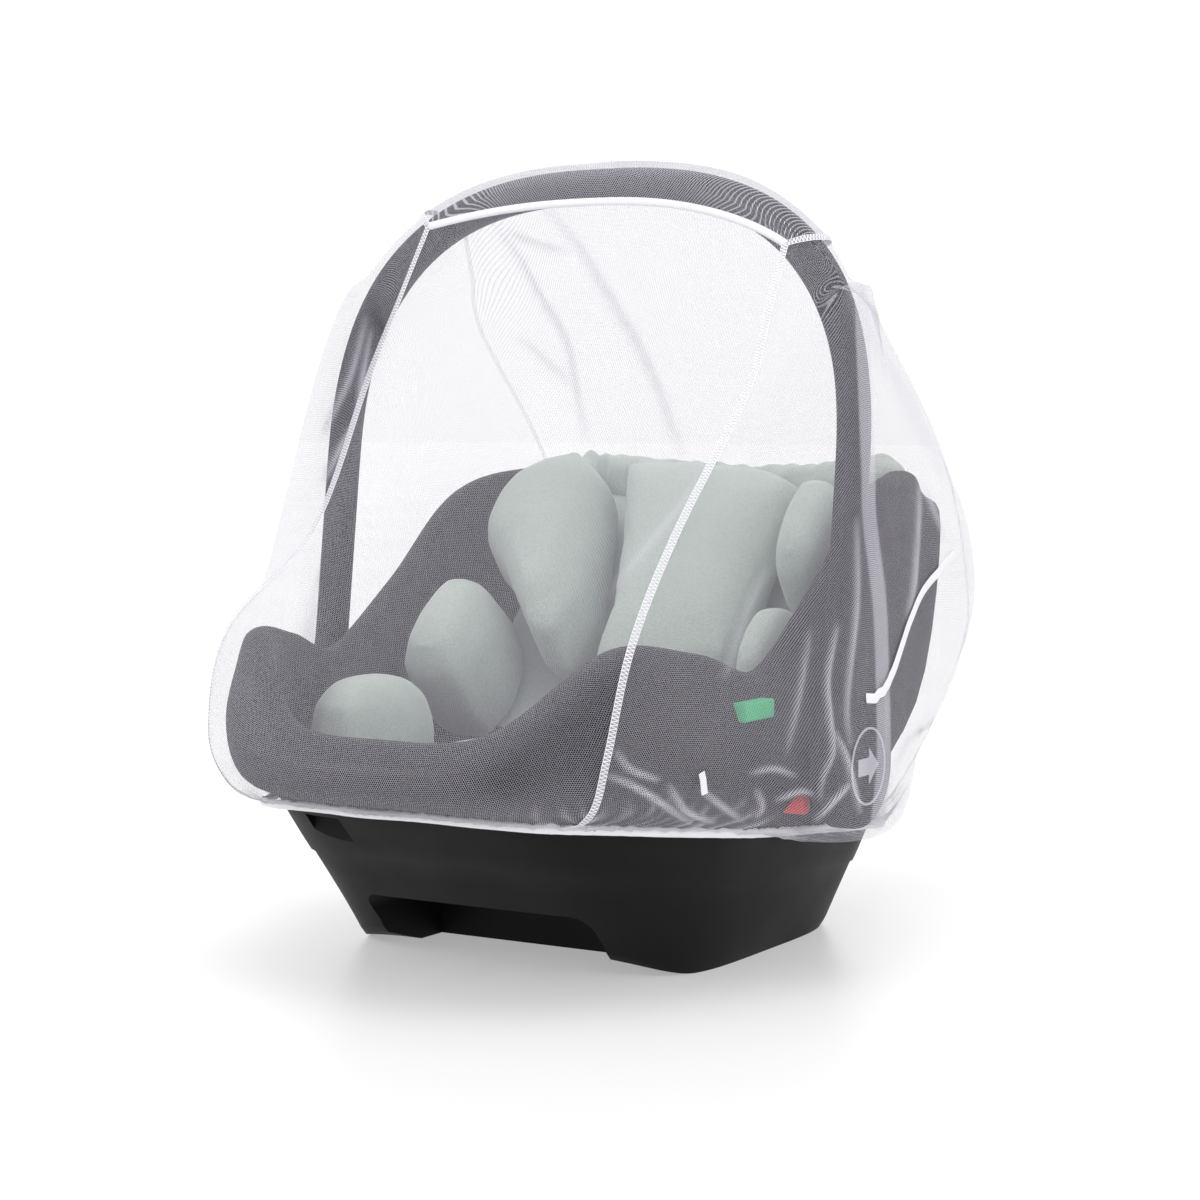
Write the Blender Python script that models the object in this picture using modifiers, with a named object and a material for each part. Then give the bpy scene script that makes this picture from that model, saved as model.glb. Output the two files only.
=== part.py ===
"""A mosquito net stretched over an infant car seat, built as one part.

The net is four cuts of fine mesh, a woven binding along the front of the crown, a loose tape at
the back and a small bare tab. It hangs from the seat's carrying handle and wraps under the shell,
so the seat is modelled too, plainly: base, shell, handle, two hubs, pads and a folded hood.
Metres, +Z up. X runs across the seat, -Y is the foot end, and the base stands on Z = 0.
"""
import math

import bmesh
import bpy
from mathutils import Vector

# Driving dimensions
GAP = 0.0003
NET_THICKNESS = 0.0010
BINDING_THICKNESS = 0.0016
SEAM_GAP = 0.0015
HEM_HEIGHT = 0.0925
HEM_RISE_TO_FOOT = 0.11

HANDLE_HALF_WIDTH = 0.205
HANDLE_TOP = 0.520
HANDLE_BEND_START = 0.320
HANDLE_BEND_POWER = 2.62
HANDLE_LEAN = math.radians(7.2)
HANDLE_LEAN_FROM = 0.120
HANDLE_THICK = 0.0236
HANDLE_DEEP = 0.024
# The net is stretched round the handle as if it were this thick and deep
CROWN_THICK = 0.024
CROWN_DEEP = 0.036

HUB_Z = 0.137
HUB_RADIUS = 0.041
HUB_INNER_X = 0.2080
HUB_OUTER_X = 0.2300
HUB_EDGE = 0.007
BOSS_RADIUS = 0.026
BOSS_INNER_X = 0.185

BASE_BOTTOM_HALF_WIDTH = 0.138
BASE_BOTTOM_FRONT_Y = -0.092
BASE_BOTTOM_BACK_Y = 0.180
BASE_BOTTOM_POWER = 4.5
NOTCH_HALF_WIDTH = 0.088
NOTCH_HEIGHT = 0.043
NOTCH_BACK_Y = -0.020
ROCKER_START_Y = -0.045
ROCKER_RISE = 0.014

CAVITY_INSET = 0.024
PAN_Z = 0.122
BACK_FOOT_Y = 0.035
BACK_SLOPE = math.radians(45)

SHELL_STEPS = 5
# The shell's underside: share of the way from the sill to the belly, outwards and upwards
TUCK_OUT = 0.78
TUCK_UP = 0.38
NET_STEPS_UP = 3
NET_STEPS_AROUND = 3

# Half of the seat's outline, one row per station from the foot to the head. The rim is the top
# edge, the belly is where the shell is widest, and the sill is where it meets the base.
STATIONS = (
    # name, rim x, y, z, belly x, y, z, sill x, y
    ("foot", 0.000, -0.228, 0.160, 0.000, -0.243, 0.140, 0.000, -0.190),
    ("foot_side", 0.082, -0.220, 0.168, 0.086, -0.232, 0.145, 0.080, -0.186),
    ("foot_corner", 0.144, -0.172, 0.217, 0.146, -0.184, 0.165, 0.136, -0.142),
    ("knee", 0.172, -0.105, 0.212, 0.182, -0.112, 0.160, 0.162, -0.075),
    ("hip", 0.182, -0.035, 0.197, 0.199, -0.035, 0.145, 0.170, -0.005),
    ("pivot", 0.183, 0.045, 0.243, 0.2005, 0.040, 0.150, 0.172, 0.070),
    ("wing", 0.182, 0.125, 0.303, 0.182, 0.108, 0.212, 0.166, 0.135),
    ("head_side", 0.168, 0.205, 0.319, 0.173, 0.195, 0.265, 0.140, 0.182),
    ("head_corner", 0.130, 0.278, 0.316, 0.143, 0.296, 0.282, 0.090, 0.206),
    ("head", 0.000, 0.310, 0.308, 0.000, 0.334, 0.285, 0.000, 0.214),
)

# Half of the net, one row per upright line of mesh from the foot to the head. Heights, bottom up:
# hem, the elastic edge; under, below the shell; belly, outside it; rim, just above its edge;
# chest and shoulder, on the way up. The top lies on the handle: a share of the way to the net's
# corner, and the turn around the handle's section, in degrees from its crown towards the head.
NET_LINES = (
    # name, hem xyz, under xyz, belly xyz, rim xyz, chest xyz, shoulder xyz, top share, turn
    ("foot", (0.000, -0.197, 0.1125), (0.000, -0.236, 0.122), (0.000, -0.2480, 0.141),
     (0.000, -0.233, 0.170), (0.000, -0.140, 0.285), (0.000, -0.052, 0.410), 0.05, -90),
    ("foot_side", (0.088, -0.194, 0.1120), (0.092, -0.230, 0.124), (0.092, -0.2380, 0.146),
     (0.088, -0.226, 0.178), (0.098, -0.136, 0.290), (0.098, -0.046, 0.405), 0.57, -90),
    ("front_seam", (0.1140, -0.186, 0.1115), (0.140, -0.194, 0.125), (0.152, -0.1960, 0.160),
     (0.158, -0.178, 0.224), (0.160, -0.127, 0.290), (0.165, -0.044, 0.378), 1.0, -90),
    ("knee", (0.172, -0.090, 0.1010), (0.184, -0.104, 0.115), (0.1900, -0.1130, 0.160),
     (0.180, -0.108, 0.220), (0.184, -0.072, 0.300), (0.184, -0.020, 0.400), 1.0, -50),
    ("arm_front", (0.180, -0.046, 0.0960), (0.228, -0.044, 0.0960), (0.2345, -0.0440, 0.137),
     (0.2245, -0.024, 0.215), (0.2205, 0.002, 0.310), (0.2025, 0.0180, 0.436), 1.0, -15),
    ("arm_back", (0.180, 0.046, 0.0865), (0.228, 0.044, 0.0915), (0.2345, 0.0440, 0.137),
     (0.2245, 0.040, 0.215), (0.2205, 0.046, 0.310), (0.2025, 0.0620, 0.436), 1.0, 15),
    ("wing", (0.172, 0.145, 0.0760), (0.192, 0.150, 0.110), (0.2060, 0.1520, 0.185),
     (0.2060, 0.150, 0.265), (0.2000, 0.125, 0.345), (0.1840, 0.092, 0.435), 1.0, 50),
    ("back_seam", (0.142, 0.194, 0.0710), (0.164, 0.220, 0.115), (0.1760, 0.2780, 0.190),
     (0.1720, 0.290, 0.250), (0.1720, 0.245, 0.335), (0.1660, 0.150, 0.425), 1.0, 90),
    ("head_corner", (0.092, 0.216, 0.0680), (0.115, 0.255, 0.115), (0.1400, 0.3400, 0.200),
     (0.1470, 0.328, 0.280), (0.1330, 0.286, 0.345), (0.1150, 0.180, 0.435), 0.57, 90),
    ("head", (0.000, 0.224, 0.0670), (0.000, 0.272, 0.115), (0.0000, 0.3650, 0.215),
     (0.000, 0.352, 0.290), (0.000, 0.316, 0.345), (0.000, 0.200, 0.440), 0.0, 90),
)
LEVEL_NAMES = ("hem", "under", "belly", "rim", "chest", "shoulder")
# The net sits off centre on the handle: on the left its corner lies further in, and the front
# seam runs its own way.
LEFT_CORNER_SHARE = 0.81
LEFT_SEAM = {"under": (0.138, -0.193, 0.125), "belly": (0.149, -0.197, 0.160),
             "rim": (0.148, -0.176, 0.224), "chest": (0.158, -0.072, 0.283),
             "shoulder": (0.166, 0.004, 0.388)}

# The net on the handle's crown, in turns around its section, and the binding below its front
CORNER_X = 0.1575
CORNER_BULGE = 0.006
CROWN_TURNS = (55, 20, -20, -55)
COLLAR_SHARE = 0.55
COLLAR_TURN = 70
NET_CLEAR = 0.0045
BINDING_WIDTH = 0.0056
BINDING_SAG = 0.0125
BINDING_SAG_POWER = 4

# Strips that lie on the right side of the net, in lines across and levels up
TAPE_WIDTH = 0.0075
TAPE_ROUTE = ((2.32, 2.63), (2.52, 2.64), (2.78, 2.70), (3.05, 2.78), (3.34, 2.86), (3.66, 2.88),
              (4.08, 2.90), (4.61, 3.04))
TAG_WIDTH = 0.0050
TAG_ROUTE = ((0.79, 1.39), (0.77, 1.54), (0.76, 1.68))
STRIP_THICKNESS = 0.0010
TAPE_LIFT = 0.0021
TAG_LIFT = 0.0014

# The folded hood: a soft roll in a groove of the head end's rim
HOOD_RADIUS = 0.018
HOOD_ROUTE = ((0.136, 0.211, 0.306), (0.132, 0.230, 0.312), (0.112, 0.251, 0.313),
              (0.060, 0.268, 0.308), (0.0, 0.273, 0.304))

GUIDE_SIZE = Vector((0.012, 0.038, 0.012))
GUIDE_PLACE = Vector((0.1835, -0.072, 0.1775))
BUTTON_RADIUS = 0.0060
BUTTON_PLACE = Vector((0.1960, -0.029, 0.113))
BUTTON_DEPTH = 0.020


def clear_scene():
    for obj in list(bpy.data.objects):
        bpy.data.objects.remove(obj, do_unlink=True)


def make_collection(name):
    collection = bpy.data.collections.new(name)
    bpy.context.scene.collection.children.link(collection)
    return collection


def make_material(name, colour, roughness, metallic=0.0):
    material = bpy.data.materials.new(name)
    material.use_nodes = True
    shader = material.node_tree.nodes["Principled BSDF"]
    shader.inputs["Base Color"].default_value = (*colour, 1.0)
    shader.inputs["Roughness"].default_value = roughness
    shader.inputs["Metallic"].default_value = metallic
    material.diffuse_color = (*colour, 1.0)
    return material


def add_object(name, bm, collection, material=None, smooth=True):
    """Turn a bmesh into a named object, shaded smooth up to 35 degrees."""
    mesh = bpy.data.meshes.new(name)
    bm.to_mesh(mesh)
    bm.free()
    obj = bpy.data.objects.new(name, mesh)
    collection.objects.link(obj)
    if material:
        mesh.materials.append(material)
    if smooth:
        mesh.shade_smooth()
        mesh.set_sharp_from_angle(angle=math.radians(35))
    return obj


def curve_point(a, b, c, d, t):
    """Catmull-Rom point between b and c."""
    return 0.5 * (2 * b + (c - a) * t + (2 * a - 5 * b + 4 * c - d) * t * t
                  + (3 * b - a - 3 * c + d) * t ** 3)


def smooth_open(points, steps):
    """A smooth run through all points, with some steps between each two."""
    ends = [2 * points[0] - points[1], *points, 2 * points[-1] - points[-2]]
    run = []
    for i in range(len(points) - 1):
        run += [curve_point(*ends[i:i + 4], k / steps) for k in range(steps)]
    return run + [points[-1].copy()]


def smooth_closed(points, steps):
    """A smooth loop through all points."""
    count = len(points)
    loop = []
    for i in range(count):
        four = [points[(i + k) % count] for k in (-1, 0, 1, 2)]
        loop += [curve_point(*four, k / steps) for k in range(steps)]
    return loop


def mirrored(points):
    """The whole loop from its right half, which starts and ends on the centre plane."""
    left = [Vector((-p.x, p.y, p.z)) for p in reversed(points[1:-1])]
    return points + left


def hem_z(y):
    return HEM_HEIGHT - HEM_RISE_TO_FOOT * y


def handle_y(z):
    return math.tan(HANDLE_LEAN) * (z - HANDLE_LEAN_FROM)


def handle_z(x):
    """Height of the handle's centreline over a place across the seat."""
    share = min(abs(x) / HANDLE_HALF_WIDTH, 1.0)
    drop = (1 - share ** HANDLE_BEND_POWER) ** (1 / HANDLE_BEND_POWER)
    return HANDLE_BEND_START + (HANDLE_TOP - HANDLE_BEND_START) * drop


def loft(rings):
    """A closed body from rings of like count, each end closed by a fan to its middle."""
    bm = bmesh.new()
    rows = [[bm.verts.new(p) for p in ring] for ring in rings]
    count = len(rings[0])
    for low, high in zip(rows, rows[1:]):
        for i in range(count):
            j = (i + 1) % count
            bm.faces.new((low[i], low[j], high[j], high[i]))
    for row, ring, flip in ((rows[0], rings[0], True), (rows[-1], rings[-1], False)):
        middle = bm.verts.new(sum(ring, Vector()) / count)
        for i in range(count):
            j = (i + 1) % count
            corners = (row[j], row[i], middle) if flip else (row[i], row[j], middle)
            bm.faces.new(corners)
    bmesh.ops.recalc_face_normals(bm, faces=bm.faces)
    return bm


def cut(obj, cutter, operation="DIFFERENCE"):
    modifier = obj.modifiers.new("cut_" + cutter.name, "BOOLEAN")
    modifier.operation = operation
    modifier.object = cutter
    return modifier


def as_cutter(obj):
    obj.hide_render = True
    obj.display_type = "WIRE"
    return obj


def cylinder_x(radius, x_from, x_to, y, z, segments=32):
    """A cylinder along X, as a bmesh."""
    bm = bmesh.new()
    bmesh.ops.create_cone(bm, cap_ends=True, segments=segments, radius1=radius, radius2=radius,
                          depth=abs(x_to - x_from))
    for vert in bm.verts:
        vert.co = Vector((vert.co.z + (x_from + x_to) / 2, vert.co.y + y, z - vert.co.x))
    return bm


def station_points(pick):
    return mirrored([Vector(pick(row)) for row in STATIONS])


def sill_ring(drop):
    points = station_points(lambda row: (row[7], row[8], hem_z(row[8]) + drop))
    return smooth_closed(points, SHELL_STEPS)


def rim_ring(inset, lift):
    """The rim moved in towards the seat's middle line, and up."""
    ring = smooth_closed(station_points(lambda row: row[1:4]), SHELL_STEPS)
    moved = []
    for i, point in enumerate(ring):
        along = ring[(i + 1) % len(ring)] - ring[i - 1]
        inward = Vector((-along.y, along.x, 0)).normalized()
        moved.append(point + inward * inset + Vector((0, 0, lift)))
    return moved


def build_shell(parts, cutters, materials):
    belly = smooth_closed(station_points(lambda row: row[4:7]), SHELL_STEPS)
    tuck = [Vector((s.x + (b.x - s.x) * TUCK_OUT, s.y + (b.y - s.y) * TUCK_OUT,
                    s.z + (b.z - s.z) * TUCK_UP)) for s, b in zip(sill_ring(0.004), belly)]
    rings = [sill_ring(0.0015), tuck, belly, rim_ring(0, -0.012), rim_ring(0.004, -0.002),
             rim_ring(0.012, 0.002), rim_ring(0.021, 0.000)]
    shell = add_object("seat_shell", loft(rings), parts, materials["dark_cloth"])

    rooms = [("cavity", cavity_body(CAVITY_INSET)), ("hood_groove", hood_body(GAP))]
    for side, name in ((1, "right"), (-1, "left")):
        rooms.append(("pocket_" + name, cylinder_x(BOSS_RADIUS + GAP, side * (BOSS_INNER_X - GAP),
                                                   side * 0.24, 0, HUB_Z)))
    rooms.append(("guide_room", box(GUIDE_PLACE, GUIDE_SIZE + Vector((GAP, GAP, GAP)) * 2)))
    rooms.append(("button_room", cylinder_x(BUTTON_RADIUS + GAP, BUTTON_PLACE.x - BUTTON_DEPTH - GAP,
                                            0.24, BUTTON_PLACE.y, BUTTON_PLACE.z, 20)))
    for name, body in rooms:
        cut(shell, as_cutter(add_object(name, body, cutters)))
    return shell


def box(place, size):
    """A box as a bmesh, from its middle and its size."""
    bm = bmesh.new()
    bmesh.ops.create_cube(bm, size=1.0)
    for vert in bm.verts:
        vert.co = Vector([c * k for c, k in zip(vert.co, size)]) + Vector(place)
    return bm


def tube(route, radius, resolution=3):
    """A round tube along a route, as a closed bmesh."""
    curve = bpy.data.curves.new("guide_curve", "CURVE")
    curve.dimensions = "3D"
    curve.bevel_depth = radius
    curve.bevel_resolution = resolution
    curve.use_fill_caps = True
    spline = curve.splines.new("POLY")
    spline.points.add(len(route) - 1)
    for point, place in zip(spline.points, route):
        point.co = (*place, 1)
    guide = bpy.data.objects.new("guide", curve)
    bpy.context.scene.collection.objects.link(guide)
    bpy.context.view_layer.update()
    mesh = bpy.data.meshes.new_from_object(guide.evaluated_get(bpy.context.evaluated_depsgraph_get()))
    bpy.data.objects.remove(guide, do_unlink=True)
    bm = bmesh.new()
    bm.from_mesh(mesh)
    bpy.data.meshes.remove(mesh)
    bmesh.ops.remove_doubles(bm, verts=bm.verts, dist=1e-5)
    bmesh.ops.recalc_face_normals(bm, faces=bm.faces)
    return bm


def hood_body(grow=0.0):
    right = [Vector(p) for p in HOOD_ROUTE]
    left = [Vector((-p.x, p.y, p.z)) for p in right[-2::-1]]
    route = smooth_open(right + left, 3)
    for end, inner in ((0, 1), (-1, -2)):
        route[end] += (route[end] - route[inner]).normalized() * grow
    return tube(route, HOOD_RADIUS + grow)


def cavity_body(inset):
    """The room inside the shell: upright walls over a level pan and a sloping back."""
    outline = rim_ring(inset, 0)
    bm = bmesh.new()
    low = [bm.verts.new((p.x, p.y, 0.02)) for p in outline]
    high = [bm.verts.new((p.x, p.y, 0.60)) for p in outline]
    count = len(outline)
    for i in range(count):
        j = (i + 1) % count
        bm.faces.new((low[i], low[j], high[j], high[i]))
    bm.faces.new(low[::-1])
    bm.faces.new(high)
    pan_up = Vector((0, 0, 1))
    back_up = Vector((0, -math.sin(BACK_SLOPE), math.cos(BACK_SLOPE)))
    corner = Vector((0, BACK_FOOT_Y, PAN_Z))
    for up in (pan_up, back_up):
        cut_faces = bmesh.ops.bisect_plane(
            bm, geom=bm.verts[:] + bm.edges[:] + bm.faces[:], dist=1e-6,
            plane_co=corner, plane_no=up, clear_inner=True)
        rim = [e for e in cut_faces["geom_cut"] if isinstance(e, bmesh.types.BMEdge)]
        bmesh.ops.contextual_create(bm, geom=rim)
    bmesh.ops.recalc_face_normals(bm, faces=bm.faces)
    return bm


def build_base(parts, cutters, materials):
    """Black plastic base: its top follows the shell, its foot is a rounded rectangle."""
    top = sill_ring(0.0015 - GAP)
    middle_y = (BASE_BOTTOM_FRONT_Y + BASE_BOTTOM_BACK_Y) / 2
    half_length = (BASE_BOTTOM_BACK_Y - BASE_BOTTOM_FRONT_Y) / 2
    foot = []
    for i in range(len(top)):
        angle = 2 * math.pi * i / len(top)
        c, s = math.cos(angle), math.sin(angle)
        x = BASE_BOTTOM_HALF_WIDTH * math.copysign(abs(s) ** (2 / BASE_BOTTOM_POWER), s)
        y = middle_y - half_length * math.copysign(abs(c) ** (2 / BASE_BOTTOM_POWER), c)
        foot.append(Vector((x, y, 0)))
    sole = [Vector((f.x * 0.92, max(f.y * 0.97, ROCKER_START_Y), 0)) for f in foot]
    for point in foot:
        past = max(ROCKER_START_Y - point.y, 0) / (ROCKER_START_Y - BASE_BOTTOM_FRONT_Y)
        point.z = ROCKER_RISE * past ** 2
    heel = [f.lerp(t, 0.05) for f, t in zip(foot, top)]
    heel = [h + Vector((0, 0, 0.004)) for h in heel]
    foot = [Vector((f.x * 0.98, middle_y + (f.y - middle_y) * 0.98, f.z)) for f in foot]
    waist = [f.lerp(t, 0.55) for f, t in zip(heel, top)]
    base = add_object("seat_base", loft([sole, foot, heel, waist, top]), parts,
                      materials["base_plastic"])

    notch = bmesh.new()
    bmesh.ops.create_cube(notch, size=1.0)
    for vert in notch.verts:
        vert.co.x *= NOTCH_HALF_WIDTH * 2
        vert.co.y = vert.co.y * (NOTCH_BACK_Y + 0.30) + (NOTCH_BACK_Y - 0.30) / 2
        vert.co.z *= NOTCH_HEIGHT * 2
    upper = [e for e in notch.edges if all(v.co.z > 0 for v in e.verts)
             and abs(e.verts[0].co.x - e.verts[1].co.x) < 1e-6]
    bmesh.ops.bevel(notch, geom=upper, offset=0.012, segments=4, affect="EDGES", profile=0.5)
    cut(base, as_cutter(add_object("notch_cutter", notch, cutters)))
    return base


def handle_route():
    """The handle's centreline, from the right hub over the crown to the left one."""
    route = []
    for k in range(3):
        z = HUB_Z + (HANDLE_BEND_START - HUB_Z) * k / 3
        route.append((HANDLE_HALF_WIDTH, z))
    bend_steps = 22
    for k in range(bend_steps + 1):
        angle = math.pi * k / bend_steps
        c, s = math.cos(angle), math.sin(angle)
        x = HANDLE_HALF_WIDTH * math.copysign(abs(c) ** (2 / HANDLE_BEND_POWER), c)
        z = HANDLE_BEND_START + (HANDLE_TOP - HANDLE_BEND_START) * s ** (2 / HANDLE_BEND_POWER)
        route.append((x, z))
    route += [(-x, z) for x, z in reversed(route[:3])]
    return route


def build_handle(parts, cutters, materials):
    """A tube on the handle's route, deeper than it is thick, ended on the two hubs."""
    bm = tube([(x, 0, z) for x, z in handle_route()], HANDLE_THICK / 2)
    for vert in bm.verts:
        vert.co.y = vert.co.y * HANDLE_DEEP / HANDLE_THICK + handle_y(vert.co.z)
    handle = add_object("seat_handle", bm, parts, materials["handle_plastic"])
    for side, name in ((1, "right"), (-1, "left")):
        clear = cylinder_x(HUB_RADIUS + GAP, side * 0.15, side * 0.26, 0, HUB_Z)
        cut(handle, as_cutter(add_object("hub_room_" + name, clear, cutters)))
    return handle


def build_hub(side, name, parts, materials):
    """A round pivot cover with a turned edge and a boss that enters the shell."""
    profile = (
        (0, BOSS_INNER_X), (BOSS_RADIUS, BOSS_INNER_X), (BOSS_RADIUS, HUB_INNER_X),
        (HUB_RADIUS - 0.002, HUB_INNER_X), (HUB_RADIUS, HUB_INNER_X + 0.002),
        (HUB_RADIUS, HUB_OUTER_X - HUB_EDGE),
        (HUB_RADIUS - HUB_EDGE * 0.3, HUB_OUTER_X - HUB_EDGE * 0.3),
        (HUB_RADIUS - HUB_EDGE, HUB_OUTER_X), (0, HUB_OUTER_X - 0.0005),
    )
    bm = bmesh.new()
    verts = [bm.verts.new((side * x, 0, HUB_Z + radius)) for radius, x in profile]
    edges = [bm.edges.new(pair) for pair in zip(verts, verts[1:])]
    bmesh.ops.spin(bm, geom=verts + edges, cent=(0, 0, HUB_Z), axis=(1, 0, 0),
                   angle=2 * math.pi, steps=28, use_merge=True)
    bmesh.ops.remove_doubles(bm, verts=bm.verts, dist=1e-5)
    bmesh.ops.recalc_face_normals(bm, faces=bm.faces)
    return add_object("seat_hub_" + name, bm, parts, materials["handle_plastic"])


def on_back(x, along, above):
    """A place on the sloping back, measured up the slope from its foot."""
    c, s = math.cos(BACK_SLOPE), math.sin(BACK_SLOPE)
    return Vector((x, BACK_FOOT_Y + along * c - above * s, PAN_Z + along * s + above * c))


def on_pan(x, y, above):
    return Vector((x, y, PAN_Z + above))


# A pad's section: share of its height, and size of its outline there
PAD_SECTION = ((0.0, 0.93), (0.30, 1.0), (0.72, 0.90), (0.93, 0.62), (1.0, 0.25))
# Pads on the sloping back: height, and outline across and up the slope
BACK_PADS = {
    "pad_back": (0.058, ((-0.066, 0.260), (0.000, 0.264), (0.066, 0.254), (0.094, 0.240),
                         (0.098, 0.180), (0.100, 0.120), (0.102, 0.060), (0.070, 0.040),
                         (0.020, 0.036), (-0.008, 0.048), (-0.012, 0.095), (-0.032, 0.168),
                         (-0.058, 0.238))),
    "pad_wing_left": (0.086, ((-0.086, 0.250), (-0.112, 0.243), (-0.134, 0.226), (-0.142, 0.200),
                              (-0.140, 0.165), (-0.126, 0.140), (-0.095, 0.120), (-0.070, 0.085),
                              (-0.050, 0.056), (-0.028, 0.054), (-0.022, 0.092),
                              (-0.042, 0.166), (-0.065, 0.230))),
    "pad_wing_right": (0.078, ((0.108, 0.228), (0.130, 0.225), (0.145, 0.206), (0.150, 0.165),
                               (0.151, 0.132), (0.146, 0.124), (0.132, 0.119), (0.117, 0.122),
                               (0.109, 0.142), (0.105, 0.180))),
    "pad_side_left": (0.094, ((-0.132, 0.104), (-0.112, 0.110), (-0.092, 0.096), (-0.079, 0.068),
                              (-0.075, 0.036), (-0.084, 0.006), (-0.118, 0.004), (-0.140, 0.014),
                              (-0.142, 0.058))),
    "pad_side_right": (0.070, ((0.115, 0.104), (0.132, 0.110), (0.147, 0.102), (0.151, 0.076),
                               (0.149, 0.042), (0.140, 0.026), (0.124, 0.024), (0.113, 0.042),
                               (0.110, 0.075))),
}
# Pads on the level pan: height, and outline across and along
PAN_PADS = {
    "pad_seat": (0.022, ((-0.050, -0.160), (0.000, -0.164), (0.050, -0.160), (0.060, -0.120),
                         (0.060, -0.040), (0.054, 0.002), (0.000, 0.004), (-0.054, 0.002),
                         (-0.060, -0.040), (-0.060, -0.120))),
    "pad_thigh_right": (0.066, ((0.074, -0.146), (0.100, -0.148), (0.122, -0.130),
                                (0.127, -0.092), (0.122, -0.052), (0.100, -0.038),
                                (0.074, -0.042), (0.067, -0.092))),
}
PAN_PADS["pad_thigh_left"] = (PAN_PADS["pad_thigh_right"][0],
                              tuple((-x, y) for x, y in PAN_PADS["pad_thigh_right"][1][::-1]))


def cushion(name, outline, height, surface, parts, material):
    """A crowned pad over an outline on one of the seat's surfaces."""
    middle = sum((Vector(spot) for spot in outline), Vector((0, 0))) / len(outline)
    rings = []
    for share, size in PAD_SECTION:
        ring = [middle.lerp(Vector(spot), size) for spot in outline]
        rings.append([surface(x, along, GAP * 1.5 + height * share) for x, along in ring])
    add_object(name, loft(rings), parts, material)


def build_pads(parts, materials):
    for pads, surface in ((BACK_PADS, on_back), (PAN_PADS, on_pan)):
        for name, (height, outline) in pads.items():
            cushion(name, outline, height, surface, parts, materials["mint_cloth"])


def handle_frame(x):
    """Centre of the handle over a place across the seat, and its outward direction there."""
    z = handle_z(x)
    across = (abs(x) / HANDLE_HALF_WIDTH) ** (HANDLE_BEND_POWER - 1) / HANDLE_HALF_WIDTH
    rise = HANDLE_TOP - HANDLE_BEND_START
    upward = ((z - HANDLE_BEND_START) / rise) ** (HANDLE_BEND_POWER - 1) / rise
    outward = Vector((math.copysign(across, x), 0, upward)).normalized()
    return Vector((x, handle_y(z), z)), outward


def on_crown(x, turn):
    """A place on the net around the handle, a little clear of its section."""
    centre, outward = handle_frame(x)
    angle = math.radians(turn)
    up = (CROWN_THICK / 2 + NET_CLEAR) * math.cos(angle)
    back = (CROWN_DEEP / 2 + NET_CLEAR) * math.sin(angle)
    return centre + outward * up + Vector((0, back, 0))


def on_binding(x, offset):
    """A place on the binding, which hangs a little below the front of the crown."""
    middle = CORNER_X * (1 - LEFT_CORNER_SHARE) / 2
    share = abs(x - middle) / (CORNER_X - middle)
    point = on_crown(x, -90)
    point.z += offset - BINDING_SAG * (1 - min(share, 1.0) ** BINDING_SAG_POWER)
    return point


def corner_x(turn, side):
    """Where the net's shoulder seam crosses the handle, at a turn around its section."""
    x = CORNER_X + CORNER_BULGE * math.cos(math.radians(turn))
    return x if side > 0 else -x * LEFT_CORNER_SHARE


def net_line(row, side):
    """One upright line of the net, from the hem to the crown, on one side of the seat."""
    name, *levels, top_share, turn = row
    if side < 0 and name == "front_seam":
        levels = [LEFT_SEAM.get(k, level) for k, level in zip(LEVEL_NAMES, levels)]
    points = [Vector((p[0] * side, p[1], p[2])) for p in levels]
    top_x = corner_x(turn, side) * top_share
    if turn == -90:
        top = on_binding(top_x, -BINDING_WIDTH / 2 - GAP * 2)
    else:
        top = on_crown(top_x, turn)
    if abs(turn) == 90:
        collar = points[-1].lerp(top, COLLAR_SHARE)
    else:
        collar_turn = turn if abs(turn) < 45 else math.copysign(COLLAR_TURN, turn)
        collar_x = top_x + (points[-1].x - top_x) * COLLAR_SHARE
        collar = on_crown(collar_x, collar_turn)
    return smooth_open(points + [collar, top], NET_STEPS_UP)


def net_columns(first, last, side):
    """Columns of net points between two named lines of one side."""
    names = [row[0] for row in NET_LINES]
    rows = NET_LINES[names.index(first):names.index(last) + 1]
    return [net_line(row, side) for row in rows]


def top_shares(first, last):
    """Shares of the way to the net's corners, from left to right, at each column of a cut."""
    names = [row[0] for row in NET_LINES]
    half = [row[-2] for row in NET_LINES[names.index(first):names.index(last) + 1]]
    half = half if half[0] < half[-1] else half[::-1]
    whole = [-share for share in half[:0:-1]] + half
    shares = []
    for low, high in zip(whole, whole[1:]):
        shares += [low + (high - low) * k / NET_STEPS_AROUND for k in range(NET_STEPS_AROUND)]
    return shares + [whole[-1]]


def crown_x(share, turn):
    return abs(share) * corner_x(turn, math.copysign(1, share))


def fill_columns(columns, steps):
    """More columns, smoothly between the given ones, as a grid of rows up the net."""
    return [smooth_open([column[k] for column in columns], steps)
            for k in range(len(columns[0]))]


def trim_edges(rows):
    """Draw both upright edges of a cut in by half of the seam's gap."""
    for row in rows:
        for edge, inner in ((0, 1), (-1, -2)):
            along = (row[inner] - row[edge]).normalized()
            row[edge] = row[edge] + along * SEAM_GAP / 2
    return rows


def sheet(name, rows, thickness, parts, material):
    """A thin cloth from a grid of points, made solid about its middle."""
    bm = bmesh.new()
    grid = [[bm.verts.new(p) for p in row] for row in rows]
    for low, high in zip(grid, grid[1:]):
        for i in range(len(low) - 1):
            bm.faces.new((low[i], low[i + 1], high[i + 1], high[i]))
    obj = add_object(name, bm, parts, material)
    solid = obj.modifiers.new("thickness", "SOLIDIFY")
    solid.thickness = thickness
    solid.offset = 0
    solid.use_even_offset = True
    return obj


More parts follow.
